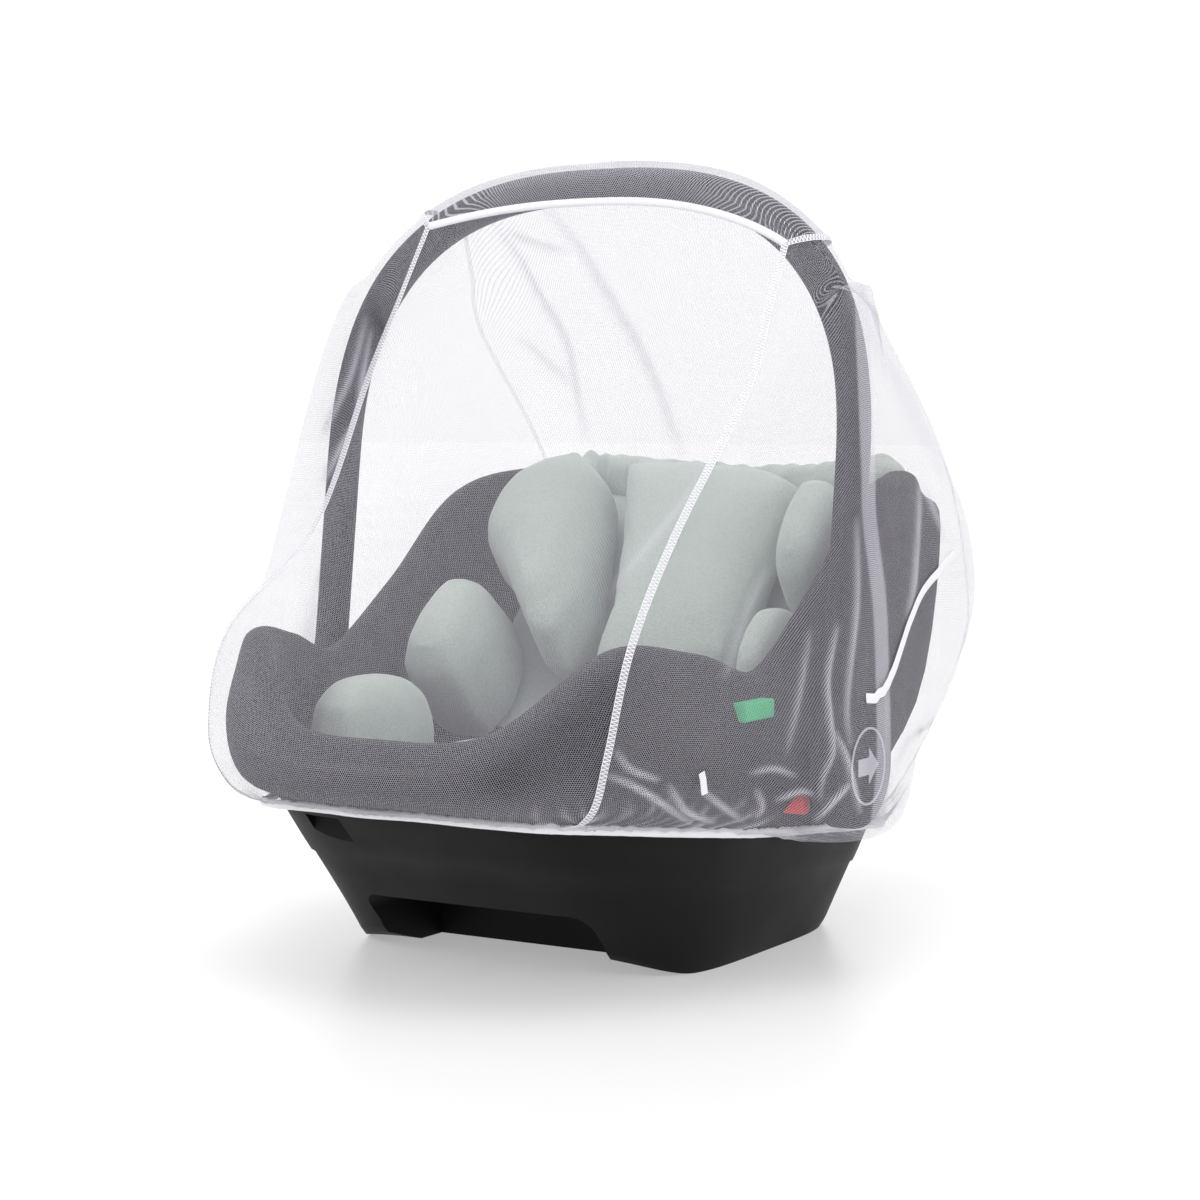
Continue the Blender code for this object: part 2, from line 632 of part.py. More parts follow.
def on_sheet(rows, across, up):
    """A place on a grid of points, and the outward direction there."""
    i = min(int(across), len(rows[0]) - 2)
    j = min(int(up), len(rows) - 2)
    a, b, c, d = rows[j][i], rows[j][i + 1], rows[j + 1][i], rows[j + 1][i + 1]
    place = a.lerp(b, across - i).lerp(c.lerp(d, across - i), up - j)
    return place, (b - a).cross(c - a).normalized()


def strip(name, rows, route, width, lift, parts, material):
    """A narrow tape that lies on the outside of a cut of the net."""
    points = smooth_open([Vector((a * NET_STEPS_AROUND, u * NET_STEPS_UP, 0)) for a, u in route], 3)
    middle, outward = zip(*(on_sheet(rows, p.x, p.y) for p in points))
    middle = [m + n * lift for m, n in zip(middle, outward)]
    edges = [[], []]
    for k, (place, normal) in enumerate(zip(middle, outward)):
        along = middle[min(k + 1, len(middle) - 1)] - middle[max(k - 1, 0)]
        across = normal.cross(along).normalized() * width / 2
        edges[0].append(place + across)
        edges[1].append(place - across)
    sheet(name, edges, STRIP_THICKNESS, parts, material)


def build_net(parts, materials):
    net = materials["net"]
    front_right = net_columns("foot", "front_seam", 1)
    front_left = net_columns("foot_side", "front_seam", -1)
    rows = fill_columns(front_left[::-1] + front_right, NET_STEPS_AROUND)
    shares = top_shares("foot", "front_seam")
    rows[-1] = [on_binding(crown_x(share, -90), -BINDING_WIDTH / 2 - GAP * 2) for share in shares]
    sheet("net_front_panel", trim_edges(rows), NET_THICKNESS, parts, net)

    for side, name in ((-1, "left"), (1, "right")):
        columns = net_columns("front_seam", "back_seam", side)
        rows = fill_columns(columns, NET_STEPS_AROUND)
        trimmed = trim_edges([[p.copy() for p in row] for row in rows])
        for top, below in zip(trimmed[-1], trimmed[-2]):
            top += (below - top).normalized() * SEAM_GAP
        sheet("net_side_" + name, trimmed, NET_THICKNESS, parts, net)
    strip("net_back_tape", rows, TAPE_ROUTE, TAPE_WIDTH, TAPE_LIFT, parts, materials["binding"])
    strip("net_tag", rows, TAG_ROUTE, TAG_WIDTH, TAG_LIFT, parts, materials["binding"])

    back_right = net_columns("back_seam", "head", 1)
    back_left = net_columns("back_seam", "head_corner", -1)
    rows = fill_columns(back_left + back_right[::-1], NET_STEPS_AROUND)
    shares = top_shares("back_seam", "head")
    rows[-1] = [on_crown(crown_x(share, 90), 90) for share in shares]
    rows += [[on_crown(crown_x(share, turn), turn) for share in shares] for turn in CROWN_TURNS]
    rows.append([on_binding(crown_x(share, -90), BINDING_WIDTH / 2 + GAP * 4) for share in shares])
    sheet("net_back_panel", trim_edges(rows), NET_THICKNESS, parts, net)

    shares = [-1 + k / 12 for k in range(25)]
    rows = [[on_binding(crown_x(share, -90), edge * BINDING_WIDTH) for share in shares]
            for edge in (-0.5, 0, 0.5)]
    sheet("net_binding", rows, BINDING_THICKNESS, parts, materials["binding"])


def build_trims(parts, materials):
    """The folded hood, the green belt guide and the red release button."""
    add_object("hood_folded", hood_body(), parts, materials["mint_cloth"])
    add_object("belt_guide", box(GUIDE_PLACE, GUIDE_SIZE), parts, materials["green"], smooth=False)
    button = cylinder_x(BUTTON_RADIUS, BUTTON_PLACE.x - BUTTON_DEPTH, BUTTON_PLACE.x,
                        BUTTON_PLACE.y, BUTTON_PLACE.z, 20)
    add_object("release_button", button, parts, materials["red"])


def main():
    clear_scene()
    parts = make_collection("car_seat_mosquito_net")
    cutters = make_collection("cutters")
    materials = {
        "net": make_material("white_net", (0.88, 0.88, 0.93), 0.6),
        "binding": make_material("white_binding", (0.93, 0.93, 0.95), 0.7),
        "dark_cloth": make_material("dark_cloth", (0.10, 0.10, 0.12), 0.85),
        "mint_cloth": make_material("mint_cloth", (0.52, 0.63, 0.58), 0.9),
        "handle_plastic": make_material("handle_plastic", (0.09, 0.09, 0.11), 0.6),
        "base_plastic": make_material("base_plastic", (0.02, 0.02, 0.022), 0.5),
        "green": make_material("green_plastic", (0.10, 0.52, 0.25), 0.5),
        "red": make_material("red_plastic", (0.65, 0.08, 0.08), 0.45),
    }
    build_base(parts, cutters, materials)
    build_shell(parts, cutters, materials)
    build_handle(parts, cutters, materials)
    for side, name in ((1, "right"), (-1, "left")):
        build_hub(side, name, parts, materials)
    build_pads(parts, materials)
    build_trims(parts, materials)
    build_net(parts, materials)


main()
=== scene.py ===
# %% [markdown]
# # A mosquito net on an infant car seat
# The net is sheer, so the seat inside it is made with as much care as the net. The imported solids
# come in as a fixed frame, and every piece here is laid out in that same frame, in metres.

import math

import bmesh
import bpy
import numpy as np
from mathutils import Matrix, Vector, noise


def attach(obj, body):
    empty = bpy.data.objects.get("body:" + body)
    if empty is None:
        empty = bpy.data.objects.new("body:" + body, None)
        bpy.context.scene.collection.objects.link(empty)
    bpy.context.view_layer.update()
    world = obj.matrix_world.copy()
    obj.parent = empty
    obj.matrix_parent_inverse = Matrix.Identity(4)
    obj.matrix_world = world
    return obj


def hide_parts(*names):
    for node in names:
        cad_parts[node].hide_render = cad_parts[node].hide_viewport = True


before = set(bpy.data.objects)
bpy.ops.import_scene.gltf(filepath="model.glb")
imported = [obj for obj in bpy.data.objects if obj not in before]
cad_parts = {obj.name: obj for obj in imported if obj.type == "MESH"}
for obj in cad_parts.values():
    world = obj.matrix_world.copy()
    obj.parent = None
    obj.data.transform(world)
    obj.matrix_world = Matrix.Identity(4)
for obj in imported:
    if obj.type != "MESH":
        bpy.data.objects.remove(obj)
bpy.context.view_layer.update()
print("solids in the frame:", len(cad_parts))

# %% [markdown]
# ## Smooth lines through a few points
# A maker's pattern needs few measures. A Catmull-Rom curve passes through each of them, so the
# same short tables give the solids their coarse shape and the cloth here its fine one.

# %% Curves through points
def curve_point(a, b, c, d, t):
    return 0.5 * (2 * b + (c - a) * t + (2 * a - 5 * b + 4 * c - d) * t * t
                  + (3 * b - a - 3 * c + d) * t ** 3)


def smooth_open(points, steps):
    ends = [2 * points[0] - points[1], *points, 2 * points[-1] - points[-2]]
    run = []
    for i in range(len(points) - 1):
        run += [curve_point(*ends[i:i + 4], k / steps) for k in range(steps)]
    return run + [points[-1].copy()]


def smooth_closed(points, steps):
    count = len(points)
    loop = []
    for i in range(count):
        four = [points[(i + k) % count] for k in (-1, 0, 1, 2)]
        loop += [curve_point(*four, k / steps) for k in range(steps)]
    return loop


def smooth_share(low, high, value):
    """0 below low, 1 above high, with a soft change between."""
    share = np.clip((np.asarray(value, float) - low) / (high - low), 0, 1)
    return share * share * (3 - 2 * share)


# %% [markdown]
# ## The grid that every cloth starts from
# Blender's own grid gives the faces. Each corner is then moved to its place, and carries its
# distance along the cloth as a UV in metres, so a weave keeps its size wherever the cloth bends.
# A grid whose two sides meet is welded into a tube, and its ends are filled.

# %% A helper for sheets and tubes
def arc_lengths(places):
    """Distance across from the middle column, and up from the first row, in metres."""
    across = np.linalg.norm(np.diff(places, axis=1), axis=2).cumsum(axis=1)
    across = np.concatenate([np.zeros((len(places), 1)), across], axis=1)
    across -= across[:, [places.shape[1] // 2]]
    rise = np.linalg.norm(np.diff(places, axis=0), axis=2).cumsum(axis=0)
    rise = np.concatenate([np.zeros((1, places.shape[1])), rise], axis=0)
    return across, rise


def outward_directions(places, inside):
    across, up = np.gradient(places, axis=1), np.gradient(places, axis=0)
    normal = np.cross(across, up)
    normal /= np.maximum(np.linalg.norm(normal, axis=2, keepdims=True), 1e-12)
    return normal if np.mean(np.sum(normal * (places - inside), axis=2)) > 0 else -normal


def cloth_mesh(name, places, material, tube=False, uv=None, marks=None, thickness=0.0):
    """A piece on Blender's grid, with its corners moved to rows of places."""
    rows, columns = places.shape[:2]
    bm = bmesh.new()
    bmesh.ops.create_grid(bm, x_segments=columns - 1, y_segments=rows - 1, size=0.5)
    low = min(vert.co.x for vert in bm.verts)
    spread = max(vert.co.x for vert in bm.verts) - low
    layers = {key: bm.verts.layers.float.new(key) for key in (marks or {})}
    cloth_uv = bm.loops.layers.uv.new("cloth")
    uv_across, uv_up = uv if uv else arc_lengths(places)
    spots = {}
    for vert in bm.verts:
        i = round((vert.co.x - low) / spread * (columns - 1))
        j = round((vert.co.y - low) / spread * (rows - 1))
        spots[vert] = (j, i)
        vert.co = places[j, i]
        for key, layer in layers.items():
            vert[layer] = marks[key][j, i]
    for face in bm.faces:
        for loop in face.loops:
            spot = spots[loop.vert]
            loop[cloth_uv].uv = (uv_across[spot], uv_up[spot])
    if tube:
        bmesh.ops.remove_doubles(bm, verts=bm.verts, dist=1e-7)
        open_edges = [edge for edge in bm.edges if edge.is_boundary]
        filled = bmesh.ops.holes_fill(bm, edges=open_edges, sides=0)["faces"]
        bmesh.ops.poke(bm, faces=filled)
        bmesh.ops.recalc_face_normals(bm, faces=bm.faces)
    return finish_piece(name, bm, material, thickness)


def finish_piece(name, bm, material, thickness=0.0, smooth_angle=40):
    mesh = bpy.data.meshes.new(name)
    bm.to_mesh(mesh)
    bm.free()
    mesh.materials.append(material)
    mesh.shade_smooth()
    mesh.set_sharp_from_angle(angle=math.radians(smooth_angle))
    piece = bpy.data.objects.new(name, mesh)
    bpy.context.scene.collection.objects.link(piece)
    if thickness:
        solid = piece.modifiers.new("thickness", "SOLIDIFY")
        solid.thickness = thickness
        solid.offset = 0
    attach(piece, "root")
    print(name, "faces:", len(mesh.polygons))
    return piece


# %% [markdown]
# ## Bands: bindings, hems, seams and tapes
# A band is a narrow flat tube along a line. Its section is an ellipse, as wide as the tape and as
# thick as its layers, and it lies flat on the cloth below it.

# %% A helper for bands
def band(name, line, normals, width, thickness, material, around=12, closed=False):
    """A flat tube along a line of places; normals say which way its face looks."""
    line, normals = np.asarray(line, float), np.asarray(normals, float)
    if closed:
        along = np.roll(line, -1, axis=0) - np.roll(line, 1, axis=0)
    else:
        along = np.gradient(line, axis=0)
    across = np.cross(normals, along)
    across /= np.maximum(np.linalg.norm(across, axis=1, keepdims=True), 1e-12)
    turns = np.linspace(0, 2 * math.pi, around + 1)
    widths = np.broadcast_to(np.asarray(width, float), len(line))[:, None, None]
    depths = np.broadcast_to(np.asarray(thickness, float), len(line))[:, None, None]
    places = (line[:, None] + across[:, None] * widths / 2 * np.cos(turns)[None, :, None]
              + normals[:, None] * depths / 2 * np.sin(turns)[None, :, None])
    steps = np.linalg.norm(np.diff(line, axis=0), axis=1)
    run = np.concatenate([[0], steps.cumsum()])
    if closed:
        places = np.concatenate([places, places[:1]])
        run = np.append(run, run[-1] + np.linalg.norm(line[0] - line[-1]))
    uv = (np.broadcast_to(turns / (2 * math.pi), places.shape[:2]),
          np.broadcast_to(run[:, None], places.shape[:2]))
    return cloth_mesh(name, places, material, tube=True, uv=uv)


# %% [markdown]
# ## Shader sums in plain Python
# A finish is easier to read as a sum than as boxes and wires. The small class below wraps a
# socket, so that `1 - mask * 0.3` adds the Math nodes it needs. Every other node comes from one
# method, which takes the node's type, its settings and its inputs.

# %% A socket that takes part in sums
class Shade:
    def __init__(self, finish, socket):
        self.finish, self.socket = finish, socket

    def sum_with(self, operation, first, second):
        return self.finish.node("ShaderNodeMath", {"operation": operation}, {0: first, 1: second})

    def __add__(self, other): return self.sum_with("ADD", self, other)
    def __radd__(self, other): return self.sum_with("ADD", other, self)
    def __sub__(self, other): return self.sum_with("SUBTRACT", self, other)
    def __rsub__(self, other): return self.sum_with("SUBTRACT", other, self)
    def __mul__(self, other): return self.sum_with("MULTIPLY", self, other)
    def __rmul__(self, other): return self.sum_with("MULTIPLY", other, self)
    def __truediv__(self, other): return self.sum_with("DIVIDE", self, other)
    def __pow__(self, other): return self.sum_with("POWER", self, other)


class Finish:
    """A material whose Principled shader is fed by sums of sockets."""

    def __init__(self, name, colour, roughness, metallic=0.0):
        self.material = bpy.data.materials.new(name)
        self.material.use_nodes = True
        self.tree = self.material.node_tree
        self.shader = self.tree.nodes["Principled BSDF"]
        self.material.diffuse_color = (*colour, 1.0)
        self.feed("Base Color", (*colour, 1.0))
        self.feed("Roughness", roughness)
        self.feed("Metallic", metallic)

    def put(self, socket, value):
        if isinstance(value, Shade):
            self.tree.links.new(value.socket, socket)
        else:
            socket.default_value = value

    def feed(self, name, value):
        self.put(self.shader.inputs[name], value)

    def node(self, kind, settings=None, inputs=None, output=0):
        made = self.tree.nodes.new(kind)
        for key, value in (settings or {}).items():
            if key == "stops":
                ramp = made.color_ramp
                for stop, (place, colour) in zip((ramp.elements[0], ramp.elements[1]), value):
                    stop.position, stop.color = place, (*colour, 1.0)
            else:
                setattr(made, key, value)
        for key, value in (inputs or {}).items():
            self.put(made.inputs[key], value)
        return Shade(self, made.outputs[output])

    def where(self):
        return self.node("ShaderNodeTexCoord", output="Object")

    def cloth_uv(self):
        return self.node("ShaderNodeUVMap", {"uv_map": "cloth"}, output="UV")

    def mark(self, name):
        return self.node("ShaderNodeAttribute", {"attribute_name": name}, output="Fac")

    def axis(self, vector, name):
        return self.node("ShaderNodeSeparateXYZ", None, {0: vector}, output=name)

    def vector_sum(self, operation, first, second, output=0):
        return self.node("ShaderNodeVectorMath", {"operation": operation}, {0: first, 1: second},
                         output)

    def least(self, first, second):
        return self.node("ShaderNodeMath", {"operation": "MINIMUM"}, {0: first, 1: second})

    def most(self, first, second):
        return self.node("ShaderNodeMath", {"operation": "MAXIMUM"}, {0: first, 1: second})

    def wave(self, value):
        return self.node("ShaderNodeMath", {"operation": "SINE"}, {0: value})

    def size_of(self, value):
        return self.node("ShaderNodeMath", {"operation": "ABSOLUTE"}, {0: value})

    def soft_step(self, value, low, high, start=0.0, end=1.0):
        return self.node("ShaderNodeMapRange", {"interpolation_type": "SMOOTHSTEP"},
                         {0: value, 1: low, 2: high, 3: start, 4: end})

    def cloud(self, vector, scale, detail=3.0, roughness=0.5):
        return self.node("ShaderNodeTexNoise", None,
                         {"Vector": vector, "Scale": scale, "Detail": detail,
                          "Roughness": roughness}, output="Fac")

    def tint(self, share, first, second):
        return self.node("ShaderNodeMix", {"data_type": "RGBA"},
                         {0: share, 6: (*first, 1.0), 7: (*second, 1.0)}, output=2)

    def bump(self, height, distance, strength=1.0):
        raised = self.node("ShaderNodeBump", None,
                           {"Strength": strength, "Distance": distance, "Height": height})
        self.feed("Normal", raised)


# %% [markdown]
# ## The net's mesh
# Real tulle is a knit of hexagonal holes, under two millimetres apart. Modelling each hole would
# take millions of faces, so the holes are cut by the material. The UV is folded into cells on two
# staggered grids. In each cell the largest of three distances is 0.5 on the sides of a hexagon, so
# Alpha is 1 only near that value. A mark on the mesh widens the thread where the cloth gathers,
# and lightens the thread's colour there: that lighter colour is a painted highlight on the folds.

# %% The mesh finish
HOLE_PITCH = 0.00145
THREAD_SHARE = 0.028
NET_COLOUR = (0.66, 0.64, 0.72)


def thread_distance(finish, pitch):
    """Distance from the nearest thread of a hexagonal mesh, in pitches."""
    cells = finish.vector_sum("SCALE", finish.cloth_uv(), (0, 0, 0))
    cells.socket.node.inputs["Scale"].default_value = 1 / pitch
    tall = math.sqrt(3)
    hexagons = []
    for shift in ((0, 0, 0), (0.5, tall / 2, 0)):
        moved = finish.vector_sum("ADD", cells, shift)
        folded = finish.node("ShaderNodeVectorMath", {"operation": "WRAP"},
                             {0: moved, 1: (0.5, tall / 2, 1), 2: (-0.5, -tall / 2, -1)})
        x = finish.size_of(finish.axis(folded, "X"))
        y = finish.size_of(finish.axis(folded, "Y"))
        hexagons.append(finish.most(x, x * 0.5 + y * (tall / 2)))
    return 0.5 - finish.least(*hexagons)


def net_finish():
    finish = Finish("white_net", NET_COLOUR, 0.6)
    density_and_highlight = finish.mark("gathered_and_highlight")
    away = thread_distance(finish, HOLE_PITCH)
    finish.feed("Alpha", finish.soft_step(away - density_and_highlight * 0.19, THREAD_SHARE + 0.015,
                                          THREAD_SHARE - 0.015))
    # The colour is lighter where the mark is high: a painted highlight on folds, gathers, the pleat
    # and the crown. The wider thread there is the real gathering.
    finish.feed("Base Color", finish.tint(density_and_highlight, NET_COLOUR, (0.78, 0.77, 0.83)))
    finish.feed("Sheen Weight", 0.15)
    finish.feed("Sheen Roughness", 0.4)
    return finish.material


net_material = net_finish()
print("hole pitch:", HOLE_PITCH)

# %% [markdown]
# ## Bindings and overlocked seams
# The binding and the tapes are closely woven, so they are opaque and show only a fine rib. An
# overlock seam is a row of threads that zigzags over the joined edges, and lets some light through.

# %% Finishes of the white trims
def woven_finish(name, colour, rib=0.0006):
    finish = Finish(name, colour, 0.65)
    where = finish.cloth_uv()
    ribs = finish.wave(finish.axis(where, "Y") * (2 * math.pi / rib))
    uneven = finish.cloud(finish.where(), 900.0)
    finish.feed("Base Color", finish.tint(uneven, [c * 0.93 for c in colour], colour))
    finish.bump(ribs * 0.5 + uneven, 0.00025, 0.7)
    finish.feed("Sheen Weight", 0.2)
    return finish.material


def overlock_finish(name, ground, thread_cover):
    finish = Finish(name, (0.90, 0.90, 0.94), 0.6)
    where = finish.cloth_uv()
    around = finish.axis(where, "X") * (4 * math.pi)
    along = finish.axis(where, "Y") * (1 / 0.0024)
    side = finish.node("ShaderNodeMath", {"operation": "COSINE"}, {0: around * 0.5})
    zigzag = finish.node("ShaderNodeMath", {"operation": "PINGPONG"}, {0: along, 1: 0.5}) * 4 - 1
    thread = finish.soft_step(finish.size_of(side - zigzag), 0.55, 0.25)
    edge = finish.soft_step(finish.size_of(side), 0.80, 0.92)
    cover = finish.most(thread, edge)
    finish.feed("Alpha", ground + cover * (thread_cover - ground))
    finish.bump(cover, 0.0004, 0.8)
    return finish.material


binding_material = woven_finish("white_binding", (0.93, 0.93, 0.96))
seam_material = overlock_finish("overlock_thread", 0.30, 0.95)
faint_seam_material = overlock_finish("faint_overlock", 0.08, 0.25)

# %% [markdown]
# ## Cloth and plastic of the seat
# The insert is a soft mint knit of small cells, the shell's cover is a dark plain weave, and the
# plastics have a fine grain. All of them read Object coordinates, so nothing slides or stretches.

# %% Finishes of the seat
def knit_finish(name, dark, light, cell=0.0015, depth=0.0003):
    finish = Finish(name, light, 0.85)
    where = finish.where()
    cells = finish.node("ShaderNodeTexVoronoi", {"feature": "F1"},
                        {"Vector": where, "Scale": 1 / cell, "Randomness": 0.9},
                        output="Distance")
    fuzz = finish.cloud(where, 1400.0, 2.0)
    patch = finish.cloud(where, 14.0, 2.0)
    knit = finish.soft_step(cells + fuzz * 0.3 + patch * 0.4 - 0.3, 0.15, 0.85)
    finish.feed("Base Color", finish.tint(knit, light, dark))
    finish.feed("Sheen Weight", 0.3)
    finish.bump(1 - cells + fuzz * 0.25, depth, 0.8)
    return finish.material


INSERT_HALF_WIDTH, INSERT_FRONT_Y, INSERT_BACK_Y = 0.125, 0.050, 0.250


def weave_finish(name, dark, light, thread=0.0011, depth=0.0004, insert=None):
    finish = Finish(name, dark, 0.85)
    where = finish.where()
    turn = 2 * math.pi / thread
    over = finish.wave((finish.axis(where, "X") + finish.axis(where, "Y") * 0.6) * turn)
    under = finish.wave((finish.axis(where, "Z") - finish.axis(where, "Y") * 0.6) * turn)
    weave = over * under
    patch = finish.cloud(where, 18.0, 3.0)
    colour = finish.tint(finish.soft_step(weave * 0.3 + patch, 0.2, 0.9), dark, light)
    if insert:
        x, y, z = (finish.axis(where, name) for name in "XYZ")
        inside = (finish.soft_step(finish.size_of(x - 0.005), INSERT_HALF_WIDTH,
                                   INSERT_HALF_WIDTH - 0.002)
                  * finish.soft_step(y, INSERT_FRONT_Y, INSERT_FRONT_Y + 0.002)
                  * finish.soft_step(y, INSERT_BACK_Y, INSERT_BACK_Y - 0.002)
                  * finish.soft_step(z, 0.100, 0.104))
        colour = finish.node("ShaderNodeMix", {"data_type": "RGBA"},
                             {0: inside, 6: colour, 7: (*insert, 1.0)}, output=2)
    finish.feed("Base Color", colour)
    finish.feed("Sheen Weight", 0.08)
    finish.feed("Specular IOR Level", 0.2)
    finish.bump(weave, depth, 0.7)
    return finish.material


def plastic_finish(name, colour, roughness, grain=0.00012, scale=2600.0):
    finish = Finish(name, colour, roughness)
    where = finish.where()
    speckle = finish.cloud(where, scale, 2.0)
    patch = finish.cloud(where, 9.0, 3.0)
    finish.feed("Roughness", finish.soft_step(patch, 0.3, 0.7, roughness - 0.06, roughness + 0.08))
    finish.feed("Base Color", finish.tint(patch, [c * 0.85 for c in colour],
                                          [min(c * 1.15, 1) for c in colour]))
    finish.bump(speckle, grain, 0.6)
    finish.feed("Specular IOR Level", 0.18)
    return finish.material


mint_material = knit_finish("mint_knit", (0.37, 0.43, 0.39), (0.46, 0.52, 0.475))
cover_material = weave_finish("dark_weave", (0.010, 0.010, 0.013), (0.026, 0.026, 0.032),
                              insert=(0.40, 0.46, 0.42))
handle_material = plastic_finish("handle_plastic", (0.018, 0.018, 0.022), 0.65)
base_material = plastic_finish("base_plastic", (0.003, 0.003, 0.0033), 0.55)
green_material = plastic_finish("green_plastic", (0.06, 0.45, 0.20), 0.45)
red_material = plastic_finish("red_plastic", (0.62, 0.06, 0.06), 0.4)

# %% [markdown]
# ## The seat's measures
# These are the same measures as the solids': half of the seat's outline from the foot to the
# head, and the handle's bend. The outline is mirrored, because a seat is the same on both sides.

# %% Measures of the seat
HEM_HEIGHT, HEM_RISE_TO_FOOT = 0.0925, 0.11
HANDLE_HALF_WIDTH, HANDLE_TOP = 0.205, 0.520
HANDLE_BEND_START, HANDLE_BEND_POWER = 0.320, 2.62
HANDLE_LEAN, HANDLE_LEAN_FROM = math.radians(7.2), 0.120
HANDLE_THICK, HANDLE_DEEP = 0.024, 0.024
CROWN_THICK, CROWN_DEEP = 0.024, 0.036
HUB_Z, HUB_RADIUS, HUB_INNER_X, HUB_OUTER_X = 0.137, 0.041, 0.2080, 0.2300
PAN_Z, BACK_FOOT_Y, BACK_SLOPE = 0.122, 0.035, math.radians(45)
STATIONS = (
    # rim x, y, z, belly x, y, z, sill x, y
    (0.000, -0.228, 0.160, 0.000, -0.243, 0.140, 0.000, -0.190),
    (0.082, -0.220, 0.168, 0.086, -0.232, 0.145, 0.080, -0.186),
    (0.144, -0.172, 0.217, 0.146, -0.184, 0.165, 0.136, -0.142),
    (0.172, -0.105, 0.212, 0.182, -0.112, 0.160, 0.162, -0.075),
    (0.182, -0.035, 0.197, 0.199, -0.035, 0.145, 0.170, -0.005),
    (0.183, 0.045, 0.243, 0.2005, 0.040, 0.150, 0.172, 0.070),
    (0.182, 0.125, 0.303, 0.182, 0.108, 0.212, 0.166, 0.135),
    (0.168, 0.205, 0.319, 0.173, 0.195, 0.265, 0.140, 0.182),
    (0.130, 0.278, 0.316, 0.143, 0.296, 0.282, 0.090, 0.206),
    (0.000, 0.310, 0.308, 0.000, 0.334, 0.285, 0.000, 0.214),
)
SHELL_STEPS = 12
TUCK_OUT, TUCK_UP = 0.78, 0.38


def mirrored(points):
    return points + [Vector((-p.x, p.y, p.z)) for p in reversed(points[1:-1])]


def hem_z(y):
    return HEM_HEIGHT - HEM_RISE_TO_FOOT * y


def ring_of(pick):
    """A closed smooth ring round the seat, as rows of numbers."""
    points = mirrored([Vector(pick(row)) for row in STATIONS])
    return np.array([tuple(p) for p in smooth_closed(points, SHELL_STEPS)])


def rim_ring(inset, lift):
    ring = ring_of(lambda row: row[0:3])
    along = np.roll(ring, -1, axis=0) - np.roll(ring, 1, axis=0)
    inward = np.stack([-along[:, 1], along[:, 0], np.zeros(len(ring))], axis=1)
    inward /= np.linalg.norm(inward, axis=1, keepdims=True)
    return ring + inward * inset + np.array([0, 0, lift])


def handle_y(z):
    return math.tan(HANDLE_LEAN) * (z - HANDLE_LEAN_FROM)


def handle_z(x):
    share = min(abs(x) / HANDLE_HALF_WIDTH, 1.0)
    drop = (1 - share ** HANDLE_BEND_POWER) ** (1 / HANDLE_BEND_POWER)
    return HANDLE_BEND_START + (HANDLE_TOP - HANDLE_BEND_START) * drop


# %% [markdown]
# ## The shell and its dark cover
# The cover is one cloth that starts under the shell, rolls over the foam rim and goes down inside
# to the seat's floor. Rings of places are stacked up its outside and down its inside, so the
# grid's rows make the roll.

# %% Build the covered shell
sill = ring_of(lambda row: (row[6], row[7], hem_z(row[7]) + 0.0015))
belly = ring_of(lambda row: row[3:6])
rim_top = rim_ring(0.021, 0.0)
shell_middle = np.array([0.0, rim_top[:, 1].mean(), rim_top[:, 2].mean()])


def floor_below(ring):
    """The seat's floor under a ring: a level pan, a sloping back, and the shelf behind it."""
    slope = PAN_Z + np.maximum(ring[:, 1] - BACK_FOOT_Y, 0) * math.tan(BACK_SLOPE)
    dropped = ring.copy()
    dropped[:, 2] = np.minimum(slope, ring[:, 2])
    return dropped


def rounded_stack(rings, steps):
    """More rings, smoothly between the given ones."""
    stack = [[Vector(p) for p in ring] for ring in rings]
    columns = [smooth_open([ring[i] for ring in stack], steps) for i in range(len(stack[0]))]
    return np.array([[tuple(p) for p in column] for column in columns]).transpose(1, 0, 2)


tuck = sill + (belly - sill) * np.array([TUCK_OUT, TUCK_OUT, TUCK_UP])
outside = rounded_stack([sill, tuck, belly, rim_ring(0, -0.012)], 5)
roll = rounded_stack([rim_ring(0, -0.012), rim_ring(0.004, -0.002), rim_ring(0.012, 0.002),
                      rim_ring(0.021, 0.0), rim_ring(0.024, -0.010)], 3)
wall_top = rim_ring(0.024, -0.010)
wall_foot = floor_below(wall_top)
wall = [wall_top + (wall_foot - wall_top) * share for share in (0.35, 0.7, 1.0)]
floor_rows = [floor_below(shell_middle + (wall_top - shell_middle) * share)
              for share in (0.8, 0.6, 0.4, 0.2)]
rings = np.concatenate([outside[:-1], roll, np.array(wall), np.array(floor_rows)])
rings = np.concatenate([rings, rings[:, :1]], axis=1)
cover = cloth_mesh("seat_cover", rings, cover_material, tube=True)
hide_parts("seat_shell")

# %% [markdown]
# ## The base
# The base is a moulded shell: rings from its flat foot to the sill, with a step where its upper
# part stands proud. The notch at the foot end is cut with a Boolean, as a mould's core would.

# %% Build the base
BASE_BOTTOM_HALF_WIDTH, BASE_BOTTOM_FRONT_Y, BASE_BOTTOM_BACK_Y = 0.138, -0.092, 0.180
BASE_BOTTOM_POWER = 4.5
ROCKER_START_Y, ROCKER_RISE = -0.045, 0.014
NOTCH_HALF_WIDTH, NOTCH_HEIGHT, NOTCH_BACK_Y = 0.088, 0.043, -0.020


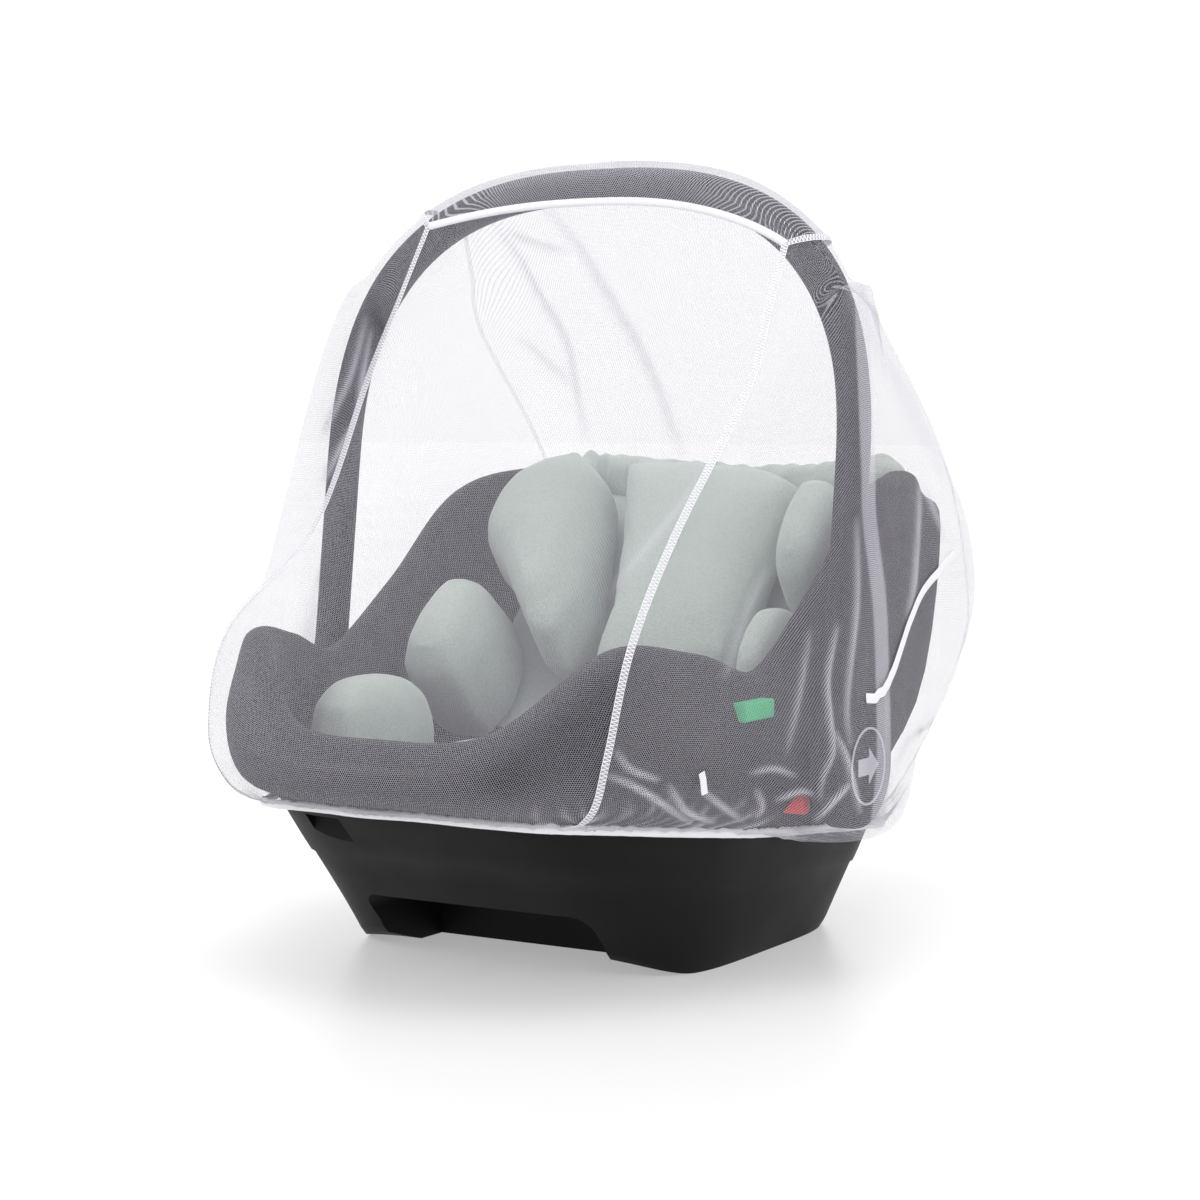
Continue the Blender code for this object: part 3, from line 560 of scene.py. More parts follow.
def base_rings():
    top = ring_of(lambda row: (row[6], row[7], hem_z(row[7]) + 0.0012))
    middle_y = (BASE_BOTTOM_FRONT_Y + BASE_BOTTOM_BACK_Y) / 2
    half_length = (BASE_BOTTOM_BACK_Y - BASE_BOTTOM_FRONT_Y) / 2
    turn = np.linspace(0, 2 * math.pi, len(top), endpoint=False)
    c, s = np.cos(turn), np.sin(turn)
    power = 2 / BASE_BOTTOM_POWER
    x = BASE_BOTTOM_HALF_WIDTH * np.copysign(np.abs(s) ** power, s)
    y = middle_y - half_length * np.copysign(np.abs(c) ** power, c)
    past = np.maximum(ROCKER_START_Y - y, 0) / (ROCKER_START_Y - BASE_BOTTOM_FRONT_Y)
    foot = np.stack([x, y, ROCKER_RISE * past ** 2], axis=1)
    sole = np.stack([x * 0.92, np.maximum(y * 0.97, ROCKER_START_Y), x * 0], axis=1)
    heel = foot + (top - foot) * 0.05 + np.array([0, 0, 0.004])
    edge = np.stack([x * 0.98, middle_y + (y - middle_y) * 0.98, foot[:, 2]], axis=1)
    rows = [sole, edge, edge + (heel - edge) * 0.5 + (heel - sole) * 0.03, heel]
    out = np.stack([x, y - middle_y, x * 0], axis=1)
    out /= np.linalg.norm(out, axis=1, keepdims=True)
    for share, proud in ((0.2, 0), (0.4, 0), (0.56, 0), (0.575, 0.0016), (0.7, 0.0016),
                         (0.85, 0.0010), (0.985, 0.0004), (1.0, -0.0006)):
        rows.append(heel + (top - heel) * share + out * proud)
    return np.array(rows)


def cut_away(piece, cutter):
    """Cut one mesh from another and keep the result as the piece's own mesh."""
    modifier = piece.modifiers.new("cut", "BOOLEAN")
    modifier.object = cutter
    modifier.solver = "EXACT"
    bpy.context.view_layer.update()
    made = bpy.data.meshes.new_from_object(
        piece.evaluated_get(bpy.context.evaluated_depsgraph_get()))
    piece.modifiers.clear()
    piece.data = made
    bpy.data.objects.remove(cutter, do_unlink=True)
    return piece


def box_piece(name, low, high):
    bm = bmesh.new()
    bmesh.ops.create_cube(bm, size=1.0)
    for vert in bm.verts:
        vert.co = Vector([(a + b) / 2 + c * (b - a) for a, b, c in zip(low, high, vert.co)])
    mesh = bpy.data.meshes.new(name)
    bm.to_mesh(mesh)
    bm.free()
    piece = bpy.data.objects.new(name, mesh)
    bpy.context.scene.collection.objects.link(piece)
    return piece


POCKET_LOW, POCKET_HIGH = (-0.090, -0.230, 0.074), (-0.058, -0.163, 0.104)
places = base_rings()
base = cloth_mesh("seat_base_shell", np.concatenate([places, places[:, :1]], axis=1),
                  base_material, tube=True)
bm = bmesh.new()
bmesh.ops.create_cube(bm, size=1.0)
for vert in bm.verts:
    vert.co.x *= NOTCH_HALF_WIDTH * 2
    vert.co.y = vert.co.y * (NOTCH_BACK_Y + 0.30) + (NOTCH_BACK_Y - 0.30) / 2
    vert.co.z *= NOTCH_HEIGHT * 2
upper = [e for e in bm.edges if all(v.co.z > 0 for v in e.verts)
         and abs(e.verts[0].co.x - e.verts[1].co.x) < 1e-6]
bmesh.ops.bevel(bm, geom=upper, offset=0.012, segments=8, affect="EDGES", profile=0.5, material=-1)
mesh = bpy.data.meshes.new("notch")
bm.to_mesh(mesh)
bm.free()
notch = bpy.data.objects.new("notch", mesh)
bpy.context.scene.collection.objects.link(notch)
cut_away(base, notch)
cut_away(base, box_piece("pocket", POCKET_LOW, POCKET_HIGH))
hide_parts("seat_base")

# %% [markdown]
# ## The carrying handle and its hubs
# The handle is one moulded bow. Its section is a rounded oblong, deeper than it is thick, and it
# widens where it runs into the hubs. Each hub is a turned cap: its profile is spun around the
# pivot, with a groove for the ring that shows on its face.

# %% Build the handle
def handle_places(steps=96, around=28):
    """Rows of places round the handle, from the right hub over the crown to the left one."""
    line = [(HANDLE_HALF_WIDTH, HUB_Z - 0.008 + k * 0.0065) for k in range(30)]
    for k in range(steps + 1):
        turn = math.pi * k / steps
        c, s = math.cos(turn), math.sin(turn)
        line.append((HANDLE_HALF_WIDTH * math.copysign(abs(c) ** (2 / HANDLE_BEND_POWER), c),
                     HANDLE_BEND_START
                     + (HANDLE_TOP - HANDLE_BEND_START) * s ** (2 / HANDLE_BEND_POWER)))
    line = [p for p in line if p[1] <= HANDLE_BEND_START - 0.004 or p in line[30:]]
    right_arm = [p for p in line if p[0] == HANDLE_HALF_WIDTH and p[1] < HANDLE_BEND_START]
    line += [(-x, z) for x, z in reversed(right_arm)]
    line = np.array(line)
    along = np.gradient(line, axis=0)
    along /= np.linalg.norm(along, axis=1, keepdims=True)
    out = np.stack([along[:, 1], -along[:, 0]], axis=1)
    low = smooth_share(0.205, 0.150, line[:, 1])
    arm = smooth_share(0.47, 0.38, line[:, 1])
    half_deep = HANDLE_DEEP / 2 + 0.014 * low
    half_thick = HANDLE_THICK / 2 - 0.002 * arm
    rows = []
    for (x, z), (ox, oz), deep, thick in zip(line, out, half_deep, half_thick):
        row = []
        for k in range(around + 1):
            turn = 2 * math.pi * k / around
            c, s = math.cos(turn), math.sin(turn)
            u = thick * math.copysign(abs(c) ** 0.72, c)
            w = deep * math.copysign(abs(s) ** 0.72, s)
            row.append((x + ox * u, handle_y(z + oz * u) + w, z + oz * u))
        rows.append(row)
    return np.array(rows)


handle = cloth_mesh("carrying_handle", handle_places(), handle_material, tube=True)
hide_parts("seat_handle")


# %% Turn the hubs
def hub(side, name):
    face = HUB_OUTER_X
    profile = ((0, 0.190), (0.026, 0.190), (0.026, HUB_INNER_X), (0.0395, HUB_INNER_X),
               (0.041, HUB_INNER_X + 0.0015), (0.041, face - 0.008), (0.0400, face - 0.004),
               (0.0375, face - 0.0015), (0.0345, face), (0.0285, face), (0.0280, face - 0.0008),
               (0.0265, face - 0.0008), (0.0260, face), (0.012, face), (0, face))
    bm = bmesh.new()
    verts = [bm.verts.new((side * x, 0, HUB_Z + radius)) for radius, x in profile]
    edges = [bm.edges.new(pair) for pair in zip(verts, verts[1:])]
    bmesh.ops.spin(bm, geom=verts + edges, cent=(0, 0, HUB_Z), axis=(1, 0, 0),
                   angle=2 * math.pi, steps=96, use_merge=True)
    bmesh.ops.remove_doubles(bm, verts=bm.verts, dist=1e-6)
    bmesh.ops.recalc_face_normals(bm, faces=bm.faces)
    piece = finish_piece("hub_cap_" + name, bm, handle_material, smooth_angle=30)
    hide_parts("seat_hub_" + name)


for side, name in ((1, "right"), (-1, "left")):
    hub(side, name)


# %% [markdown]
# The arrow on the right hub shows which way the handle turns. It is a flat pointer, printed in
# pale grey on the real part, and here a thin plate on the cap.

# %% The pointer on the right hub
pointer_material = plastic_finish("pale_print", (0.55, 0.55, 0.60), 0.5)
bm = bmesh.new()
POINTER = ((-0.015, -0.0055), (0.001, -0.0055), (0.001, -0.0115), (0.015, 0.0),
           (0.001, 0.0115), (0.001, 0.0055), (-0.015, 0.0055))
outline = [bm.verts.new((HUB_OUTER_X - 0.0002, y, HUB_Z + z)) for y, z in POINTER]
plate = bm.faces.new(outline)
RING_RADIUS, RING_HALF_WIDTH, RING_HIGH = 0.0245, 0.0007, 0.0006
profile = ((RING_RADIUS - RING_HALF_WIDTH, -0.0006), (RING_RADIUS - RING_HALF_WIDTH, RING_HIGH),
           (RING_RADIUS + RING_HALF_WIDTH, RING_HIGH), (RING_RADIUS + RING_HALF_WIDTH, -0.0006))
raised = bmesh.ops.extrude_face_region(bm, geom=[plate])["geom"]
bmesh.ops.translate(bm, vec=(0.0006, 0, 0),
                    verts=[v for v in raised if isinstance(v, bmesh.types.BMVert)])
verts = [bm.verts.new((HUB_OUTER_X + x, 0, HUB_Z + radius)) for radius, x in profile]
edges = [bm.edges.new(pair) for pair in zip(verts, verts[1:] + verts[:1])]
bmesh.ops.spin(bm, geom=verts + edges, cent=(0, 0, HUB_Z), axis=(1, 0, 0), angle=2 * math.pi,
               steps=72, use_merge=True)
bmesh.ops.remove_doubles(bm, verts=bm.verts, dist=1e-6)
bmesh.ops.recalc_face_normals(bm, faces=bm.faces)
finish_piece("hub_pointer", bm, pointer_material)

# %% [markdown]
# ## The mint insert
# The insert is padded cloth. Each pad starts from its solid, is remeshed to small even faces and
# shrunk a little, and is then blown up by a cloth simulation, so it gets the crown and the soft
# corners of stuffed cloth. How far a point may move is capped, so the pads keep their places.

# %% Blow up the pads
PAD_NAMES = ("pad_back", "pad_wing_right", "pad_wing_left", "pad_side_right", "pad_side_left",
             "pad_seat", "pad_thigh_right", "pad_thigh_left")
PAD_VOXEL, PAD_SHRINK, PAD_CAP = 0.005, 0.0010, 0.008
PAD_FRAMES = 20


def coordinates(mesh):
    flat = np.zeros(len(mesh.vertices) * 3)
    mesh.vertices.foreach_get("co", flat)
    return flat.reshape(-1, 3)


def applied(piece):
    """The piece with its modifiers worked into its mesh."""
    made = bpy.data.meshes.new_from_object(
        piece.evaluated_get(bpy.context.evaluated_depsgraph_get()))
    piece.modifiers.clear()
    piece.data = made
    return piece


def padding(node):
    """A pad's solid as a closed mesh of even small faces, a little smaller."""
    bm = bmesh.new()
    bm.from_mesh(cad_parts[node].data)
    bmesh.ops.remove_doubles(bm, verts=bm.verts, dist=1e-5)
    mesh = bpy.data.meshes.new(node + "_cushion")
    bm.to_mesh(mesh)
    bm.free()
    mesh.materials.clear()
    mesh.materials.append(mint_material)
    piece = bpy.data.objects.new(node + "_cushion", mesh)
    bpy.context.scene.collection.objects.link(piece)
    remesh = piece.modifiers.new("even", "REMESH")
    remesh.mode, remesh.voxel_size = "VOXEL", PAD_VOXEL
    relax = piece.modifiers.new("relax", "SMOOTH")
    relax.iterations, relax.factor = 6, 0.5
    shrink = piece.modifiers.new("shrink", "DISPLACE")
    shrink.strength, shrink.mid_level = -PAD_SHRINK, 0.0
    bpy.context.view_layer.update()
    return applied(piece)


def blow_up(pieces):
    """Simulate all pads together under pressure, then keep their capped shapes."""
    starts = [coordinates(piece.data) for piece in pieces]
    for piece in pieces:
        cloth = piece.modifiers.new("cloth", "CLOTH")
        cloth.settings.use_pressure = True
        cloth.settings.uniform_pressure_force = 4.0
        cloth.settings.effector_weights.gravity = 0.0
        cloth.settings.quality = 5
        cloth.point_cache.frame_start, cloth.point_cache.frame_end = 1, PAD_FRAMES
    for k in range(1, PAD_FRAMES + 1):
        bpy.context.scene.frame_set(k)
    graph = bpy.context.evaluated_depsgraph_get()
    ends = [coordinates(piece.evaluated_get(graph).data) for piece in pieces]
    for piece, start, end in zip(pieces, starts, ends):
        piece.modifiers.clear()
        move = end - start
        length = np.maximum(np.linalg.norm(move, axis=1, keepdims=True), 1e-9)
        piece.data.vertices.foreach_set(
            "co", (start + move * np.minimum(1, PAD_CAP / length)).ravel())
        piece.data.update()
    bpy.context.scene.frame_set(1)


pads = [padding(node) for node in PAD_NAMES]
blow_up(pads)
for pad, node in zip(pads, PAD_NAMES):
    pad.data.shade_smooth()
    finer = pad.modifiers.new("finer", "SUBSURF")
    finer.levels = finer.render_levels = 1
    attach(pad, "root")
    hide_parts(node)
    print(pad.name, "faces:", len(pad.data.polygons))

# %% [markdown]
# ## The folded hood, the belt guide and the button
# The hood is folded down behind the head. It is a long soft roll, so it is a tube along a smooth
# line, and its folds run round it: a wave of noise along the roll pulls its radius in and out.

# %% Build the hood
HOOD_RADIUS = 0.018
HOOD_ROUTE = ((0.136, 0.211, 0.306), (0.132, 0.230, 0.312), (0.112, 0.251, 0.313),
              (0.060, 0.268, 0.308), (0.0, 0.273, 0.304))


def hood_places(around=40):
    right = [Vector(p) for p in HOOD_ROUTE]
    left = [Vector((-p.x, p.y, p.z)) for p in right[-2::-1]]
    line = smooth_open(right + left, 24)
    rows = []
    for k, middle in enumerate(line):
        along = (line[min(k + 1, len(line) - 1)] - line[max(k - 1, 0)]).normalized()
        side = along.cross(Vector((0, 0, 1))).normalized()
        up = side.cross(along)
        end = min(k, len(line) - 1 - k) / 10
        close = math.sqrt(1 - (1 - min(end, 1)) ** 2) * 0.98 + 0.02
        row = []
        for i in range(around + 1):
            turn = 2 * math.pi * (i % around) / around
            spot = middle + (side * math.cos(turn) + up * math.sin(turn)) * HOOD_RADIUS
            fold = noise.noise(Vector((k * 0.19, math.cos(turn) * 0.9, math.sin(turn) * 0.9)))
            sweep = math.sin(turn * 3 + k * 0.10) * 0.0008
            radius = (HOOD_RADIUS + fold * 0.0045 + sweep) * close
            row.append(tuple(middle + (spot - middle) / HOOD_RADIUS * radius))
        rows.append(row)
    return np.array(rows)


hood = cloth_mesh("folded_hood", hood_places(), mint_material, tube=True)
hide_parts("hood_folded")


# %% The green belt guide and the red button
def rounded_box(name, place, size, radius, material):
    bm = bmesh.new()
    bmesh.ops.create_cube(bm, size=1.0)
    for vert in bm.verts:
        vert.co = Vector([c * k for c, k in zip(vert.co, size)]) + Vector(place)
    bmesh.ops.bevel(bm, geom=bm.edges[:], offset=radius, segments=3, affect="EDGES",
                    profile=0.5, material=-1)
    return finish_piece(name, bm, material, smooth_angle=30)


guide = rounded_box("belt_guide_plate", (0.1840, -0.072, 0.1775), (0.012, 0.038, 0.012), 0.0016,
                    green_material)
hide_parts("belt_guide")

bm = bmesh.new()
PROFILE = ((0, 0.1760), (0.0060, 0.1760), (0.0060, 0.1990), (0.0055, 0.2002), (0.0045, 0.2008),
           (0, 0.2010))
verts = [bm.verts.new((x, -0.029, 0.113 + radius)) for radius, x in PROFILE]
edges = [bm.edges.new(pair) for pair in zip(verts, verts[1:])]
bmesh.ops.spin(bm, geom=verts + edges, cent=(0, -0.029, 0.113), axis=(1, 0, 0),
               angle=2 * math.pi, steps=32, use_merge=True)
bmesh.ops.remove_doubles(bm, verts=bm.verts, dist=1e-6)
bmesh.ops.recalc_face_normals(bm, faces=bm.faces)
button = finish_piece("red_button", bm, red_material)
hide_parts("release_button")

# %% [markdown]
# ## The camera
# The camera stands where the photograph was taken from: low, to the right of the seat's foot end.
# It is made before the net, because some folds are placed by where they are seen.

# %% Place the camera
AZIMUTH, ELEVATION, DISTANCE = math.radians(31.006), math.radians(4.0), 1.8
TARGET = Vector((0.01273, 0.02749, 0.23439))
LENS, SENSOR, PHOTO_SIZE = 78.167, 36.0, 1200
backward = Vector((math.sin(AZIMUTH) * math.cos(ELEVATION),
                   -math.cos(AZIMUTH) * math.cos(ELEVATION), math.sin(ELEVATION)))
camera_data = bpy.data.cameras.new("camera")
camera_data.lens, camera_data.sensor_width = LENS, SENSOR
camera_data.clip_start, camera_data.clip_end = 0.05, 100.0
camera = bpy.data.objects.new("camera", camera_data)
bpy.context.scene.collection.objects.link(camera)
camera.location = TARGET + backward * DISTANCE
camera.rotation_mode = "QUATERNION"
camera.rotation_quaternion = (-backward).to_track_quat("-Z", "Y")
bpy.context.scene.camera = camera


def seen_at(places):
    """Where the camera sees places, in a picture of 1200 by 1200."""
    right = np.array([math.cos(AZIMUTH), math.sin(AZIMUTH), 0.0])
    back = np.array(backward)
    up = np.cross(back, right)
    away = places - np.array(camera.location)
    scale = LENS / SENSOR * PHOTO_SIZE / -(away @ back)
    return np.stack([PHOTO_SIZE / 2 + away @ right * scale, PHOTO_SIZE / 2 - away @ up * scale],
                    axis=-1)

# %% [markdown]
# ## The lines of the net
# The net is stretched over the handle and wraps under the shell. Its shape is held by upright
# lines of mesh: each goes from the elastic hem, round the shell's belly, past its rim, and up to
# the handle's crown. The table is the solids' own, so the fine cloth lies where they are.

# %% Measures of the net
NET_LINES = (
    # name, hem xyz, under xyz, belly xyz, rim xyz, chest xyz, shoulder xyz, top share, turn
    ("foot", (0.000, -0.197, 0.1125), (0.000, -0.236, 0.122), (0.000, -0.2480, 0.141),
     (0.000, -0.233, 0.170), (0.000, -0.140, 0.285), (0.000, -0.052, 0.410), 0.05, -90),
    ("foot_side", (0.088, -0.194, 0.1120), (0.092, -0.230, 0.124), (0.092, -0.2380, 0.146),
     (0.088, -0.226, 0.178), (0.098, -0.136, 0.290), (0.098, -0.046, 0.405), 0.57, -90),
    ("front_seam", (0.1140, -0.186, 0.1115), (0.140, -0.194, 0.125), (0.152, -0.1960, 0.160),
     (0.158, -0.178, 0.224), (0.160, -0.127, 0.290), (0.165, -0.044, 0.378), 1.0, -90),
    ("knee", (0.172, -0.090, 0.1010), (0.184, -0.104, 0.115), (0.1900, -0.1130, 0.160),
     (0.180, -0.108, 0.220), (0.184, -0.072, 0.300), (0.184, -0.020, 0.400), 1.0, -50),
    ("arm_front", (0.180, -0.046, 0.0960), (0.228, -0.044, 0.0960), (0.2345, -0.0440, 0.137),
     (0.2245, -0.024, 0.215), (0.2205, 0.002, 0.310), (0.2025, 0.0180, 0.436), 1.0, -15),
    ("arm_back", (0.180, 0.046, 0.0865), (0.228, 0.044, 0.0915), (0.2345, 0.0440, 0.137),
     (0.2245, 0.040, 0.215), (0.2205, 0.046, 0.310), (0.2025, 0.0620, 0.436), 1.0, 15),
    ("wing", (0.172, 0.145, 0.0760), (0.192, 0.150, 0.110), (0.2060, 0.1520, 0.185),
     (0.2060, 0.150, 0.265), (0.2000, 0.125, 0.345), (0.1840, 0.092, 0.435), 1.0, 50),
    ("back_seam", (0.142, 0.194, 0.0710), (0.164, 0.220, 0.115), (0.1760, 0.2780, 0.190),
     (0.1720, 0.290, 0.250), (0.1720, 0.245, 0.335), (0.1660, 0.150, 0.425), 1.0, 90),
    ("head_corner", (0.092, 0.216, 0.0680), (0.115, 0.255, 0.115), (0.1400, 0.3400, 0.200),
     (0.1470, 0.328, 0.280), (0.1330, 0.286, 0.345), (0.1150, 0.180, 0.435), 0.57, 90),
    ("head", (0.000, 0.224, 0.0670), (0.000, 0.272, 0.115), (0.0000, 0.3650, 0.215),
     (0.000, 0.352, 0.290), (0.000, 0.316, 0.345), (0.000, 0.200, 0.440), 0.0, 90),
)
LEVEL_NAMES = ("hem", "under", "belly", "rim", "chest", "shoulder")
LEFT_CORNER_SHARE = 0.81
LEFT_SEAM = {"under": (0.138, -0.193, 0.125), "belly": (0.149, -0.197, 0.160),
             "rim": (0.148, -0.176, 0.224), "chest": (0.158, -0.072, 0.283),
             "shoulder": (0.166, 0.004, 0.388)}
CORNER_X, CORNER_BULGE = 0.1575, 0.006
CROWN_TURNS = (55, 20, -20, -55)
COLLAR_SHARE, COLLAR_TURN = 0.55, 70
NET_CLEAR = 0.0045
BINDING_WIDTH, BINDING_THICKNESS = 0.0056, 0.0016
BINDING_SAG, BINDING_SAG_POWER = 0.0125, 4
UP_STEPS, AROUND_STEPS = 28, 38
NET_THREAD = 0.0002


def on_crown(x, turn):
    z = handle_z(x)
    across = (abs(x) / HANDLE_HALF_WIDTH) ** (HANDLE_BEND_POWER - 1) / HANDLE_HALF_WIDTH
    rise = HANDLE_TOP - HANDLE_BEND_START
    upward = ((z - HANDLE_BEND_START) / rise) ** (HANDLE_BEND_POWER - 1) / rise
    outward = Vector((math.copysign(across, x), 0, upward)).normalized()
    angle = math.radians(turn)
    return (Vector((x, handle_y(z), z)) + outward * (CROWN_THICK / 2 + NET_CLEAR) * math.cos(angle)
            + Vector((0, (CROWN_DEEP / 2 + NET_CLEAR) * math.sin(angle), 0)))


def on_binding(x, offset):
    middle = CORNER_X * (1 - LEFT_CORNER_SHARE) / 2
    share = min(abs(x - middle) / (CORNER_X - middle), 1.0)
    point = on_crown(x, -90)
    point.z += offset - BINDING_SAG * (1 - share ** BINDING_SAG_POWER)
    return point


def corner_x(turn, side):
    x = CORNER_X + CORNER_BULGE * math.cos(math.radians(turn))
    return x if side > 0 else -x * LEFT_CORNER_SHARE


def net_line(row, side):
    """One upright line of the net, from the hem to the crown."""
    name, *levels, top_share, turn = row
    if side < 0 and name == "front_seam":
        levels = [LEFT_SEAM.get(k, level) for k, level in zip(LEVEL_NAMES, levels)]
    points = [Vector((p[0] * side, p[1], p[2])) for p in levels]
    top_x = corner_x(turn, side) * top_share
    top = on_binding(top_x, 0) if turn == -90 else on_crown(top_x, turn)
    if abs(turn) == 90:
        collar = points[-1].lerp(top, COLLAR_SHARE)
    else:
        collar_turn = turn if abs(turn) < 45 else math.copysign(COLLAR_TURN, turn)
        collar = on_crown(top_x + (points[-1].x - top_x) * COLLAR_SHARE, collar_turn)
    return smooth_open(points + [collar, top], UP_STEPS)


def net_columns(first, last, side):
    names = [row[0] for row in NET_LINES]
    return [net_line(row, side) for row in NET_LINES[names.index(first):names.index(last) + 1]]


def fill_rows(columns):
    """The whole grid of a cut, as rows of places up the net."""
    return [smooth_open([column[k] for column in columns], AROUND_STEPS)
            for k in range(len(columns[0]))]


def top_shares(first, last):
    names = [row[0] for row in NET_LINES]
    half = [row[-2] for row in NET_LINES[names.index(first):names.index(last) + 1]]
    half = half if half[0] < half[-1] else half[::-1]
    whole = [-share for share in half[:0:-1]] + half
    return np.interp(np.linspace(0, len(whole) - 1, (len(whole) - 1) * AROUND_STEPS + 1),
                     range(len(whole)), whole)


def crown_x(share, turn):
    return abs(share) * corner_x(turn, math.copysign(1, share))


# %% [markdown]
# ## Folds
# A stretched net still has folds: small crescents where the elastic gathers it, and long ridges
# where it is pulled towards a corner. A fold is a ridge along a line: it lifts the cloth outwards,
# fades at its ends, and marks where the cloth gathers: the mesh there is more opaque, and its
# colour is lightened, a painted highlight on the ridge.

# %% Helpers for folds
GATHER_SPACING, GATHER_REACH, GATHER_HEIGHT = 0.0042, 0.046, 0.0030


def away_from(route, seen):
    """Distance from every place to a line, and how far along the line it is, both as seen."""
    best = np.full(seen.shape[:2], 1e9)
    share = np.zeros(seen.shape[:2])
    route = np.array(route, float)
    lengths = np.linalg.norm(np.diff(route, axis=0), axis=1)
    starts = np.concatenate([[0], lengths.cumsum()])
    for a, b, start, length in zip(route, route[1:], starts, lengths):
        t = np.clip(((seen - a) @ (b - a)) / length ** 2, 0, 1)
        gap = np.linalg.norm(seen - (a + t[..., None] * (b - a)), axis=2)
        share = np.where(gap < best, (start + t * length) / starts[-1], share)
        best = np.minimum(best, gap)
    return best, share


def smooth_route(route):
    points = [Vector((x, y, 0)) for x, y in route]
    return [(p.x, p.y) for p in smooth_open(points, 6)] if len(points) > 2 else route


def ridges(folds, seen):
    """Height and gathering of many folds: each has a line, a width in pixels, a height in mm. The
    gathering also lightens the net's colour, which is a painted highlight.
    """
    height, gathered_and_highlight = np.zeros(seen.shape[:2]), np.zeros(seen.shape[:2])
    for route, width, lift, white in folds:
        gap, share = away_from(smooth_route(route), seen)
        fade = np.sin(math.pi * np.clip(share * 0.96 + 0.02, 0, 1)) ** 0.5
        shape = np.exp(-(gap / width) ** 2) * fade
        height += lift / 1000 * shape
        gathered_and_highlight = np.maximum(gathered_and_highlight, white * shape)
    return height, gathered_and_highlight


def noise_field(across, rise, scale_across, scale_rise, seed):
    """Smooth noise over a cloth, stretched as asked, from -1 to 1."""
    field = np.zeros(across.shape)
    for spot in np.ndindex(across.shape):
        field[spot] = noise.noise(Vector((across[spot] / scale_across, rise[spot] / scale_rise,
                                          seed)))
    return field


def hem_gathers(across, rise, seed):
    """Crescents above the elastic: close at the hem, wider and weaker above."""
    drift = noise_field(across, rise, 0.040, 0.030, seed) * 3.4
    lean = noise_field(across, rise, 0.120, 0.500, seed + 5) * 26
    sharp = np.abs(np.sin(across / GATHER_SPACING + drift + rise * lean)) ** 0.6
    patch = np.clip(0.5 + 0.9 * noise_field(across, rise, 0.024, 0.015, seed + 3), 0, 1)
    reach = smooth_share(0.0, 0.003, rise) * (1 - smooth_share(0.006, GATHER_REACH, rise))
    crest = (1 - sharp) ** 1.3 * patch * reach
    # The crest also marks the mesh: thicker threads, and a lighter colour that is painted
    # highlight.
    return GATHER_HEIGHT * crest, crest


# %% [markdown]
# ## The four cuts of mesh
# The front panel, two sides and the back panel with the crown are cut apart and sewn together.
# Each is one grid over its lines, lifted by its folds, and thin: the thread is 0.2 mm thick.
# Three marks whiten the mesh, with thicker threads and a lighter colour that is painted highlight:
# folds and gathers, the doubled pleat, and the pulled crown.

# %% Folds of each cut, where the photograph shows them
# Each fold: its line in the photograph's pixels, half its width in pixels, height in mm, white: how
# much it thickens the threads and lightens their colour, a painted highlight
FRONT_FOLDS = (
    (((710, 467), (667, 523), (611, 592)), 4, 0.5, 0.25),
)
RIGHT_FOLDS = (
    (((608, 776), (627, 783), (652, 797), (689, 822)), 2.8, 2.2, 0.75),
    (((616, 752), (630, 769), (658, 780)), 2.8, 1.6, 0.60),
    (((669, 786), (683, 808), (700, 817), (714, 821)), 2.8, 2.0, 0.70),
    (((700, 789), (722, 806), (742, 820)), 2.8, 2.0, 0.65),
    (((756, 789), (762, 806), (756, 817)), 2.8, 1.8, 0.60),
    (((750, 773), (773, 769), (795, 776)), 2.8, 1.6, 0.55),
    (((776, 800), (798, 792), (812, 794)), 2.8, 1.8, 0.60),
    (((850, 783), (834, 800), (815, 820)), 2.8, 2.0, 0.65),
    (((837, 626), (827, 677), (829, 716), (832, 752), (822, 778), (819, 800)), 2.8, 1.4, 0.50),
    (((809, 632), (798, 699), (787, 752)), 2.8, 1.2, 0.35),
    (((764, 570), (739, 632), (725, 677)), 4, 1.0, 0.25),
    (((834, 733), (846, 758), (860, 811)), 2.8, 1.4, 0.55),
    (((857, 520), (857, 604), (847, 702), (850, 744)), 3, 1.0, 0.40),
    (((879, 632), (885, 716), (882, 789)), 3, 1.0, 0.45),
    (((917, 534), (913, 590), (907, 615)), 3, 1.0, 0.40),
    (((919, 480), (919, 515), (916, 555), (914, 592)), 3, 0.8, 0.35),
    (((922, 480), (935, 515), (948, 542)), 3, 0.8, 0.35),
    (((857, 300), (900, 385), (946, 477)), 10, 1.2, 0.30),
    (((849, 293), (868, 306), (887, 335)), 3, 1.0, 0.45),
    (((896, 766), (910, 738), (946, 710), (958, 677), (977, 604), (974, 548)), 3, 1.2, 0.55),
)
LEFT_FOLDS = (
    (((370, 330), (362, 378), (357, 421), (335, 453)), 3.5, 1.2, 0.50),
    (((354, 424), (338, 452), (324, 480)), 3.5, 1.2, 0.45),
    (((365, 319), (349, 378), (323, 432)), 3.5, 1.2, 0.45),
    (((349, 504), (330, 548), (316, 592)), 4, 1.2, 0.35),
    (((301, 635), (327, 644), (352, 657)), 4, 1.6, 0.40),
    (((332, 587), (343, 601), (349, 615)), 3.5, 1.2, 0.35),
    (((327, 585), (310, 640), (293, 694)), 12, 1.4, 0.22),
)
BACK_FOLDS = (
    (((496, 228), (520, 260), (541, 298), (566, 341), (576, 389), (586, 442)), 4, 1.2, 0.30),
    (((504, 231), (536, 244), (568, 252)), 4, 1.0, 0.25),
    (((547, 209), (579, 247), (606, 292), (638, 346), (659, 392), (681, 453)), 5, 1.2, 0.28),
    (((520, 338), (555, 370), (571, 384)), 4, 1.0, 0.22),
    (((442, 343), (434, 408), (421, 488), (412, 552)), 4, 1.0, 0.25),
    (((394, 434), (386, 515), (381, 598)), 4, 1.0, 0.22),
)
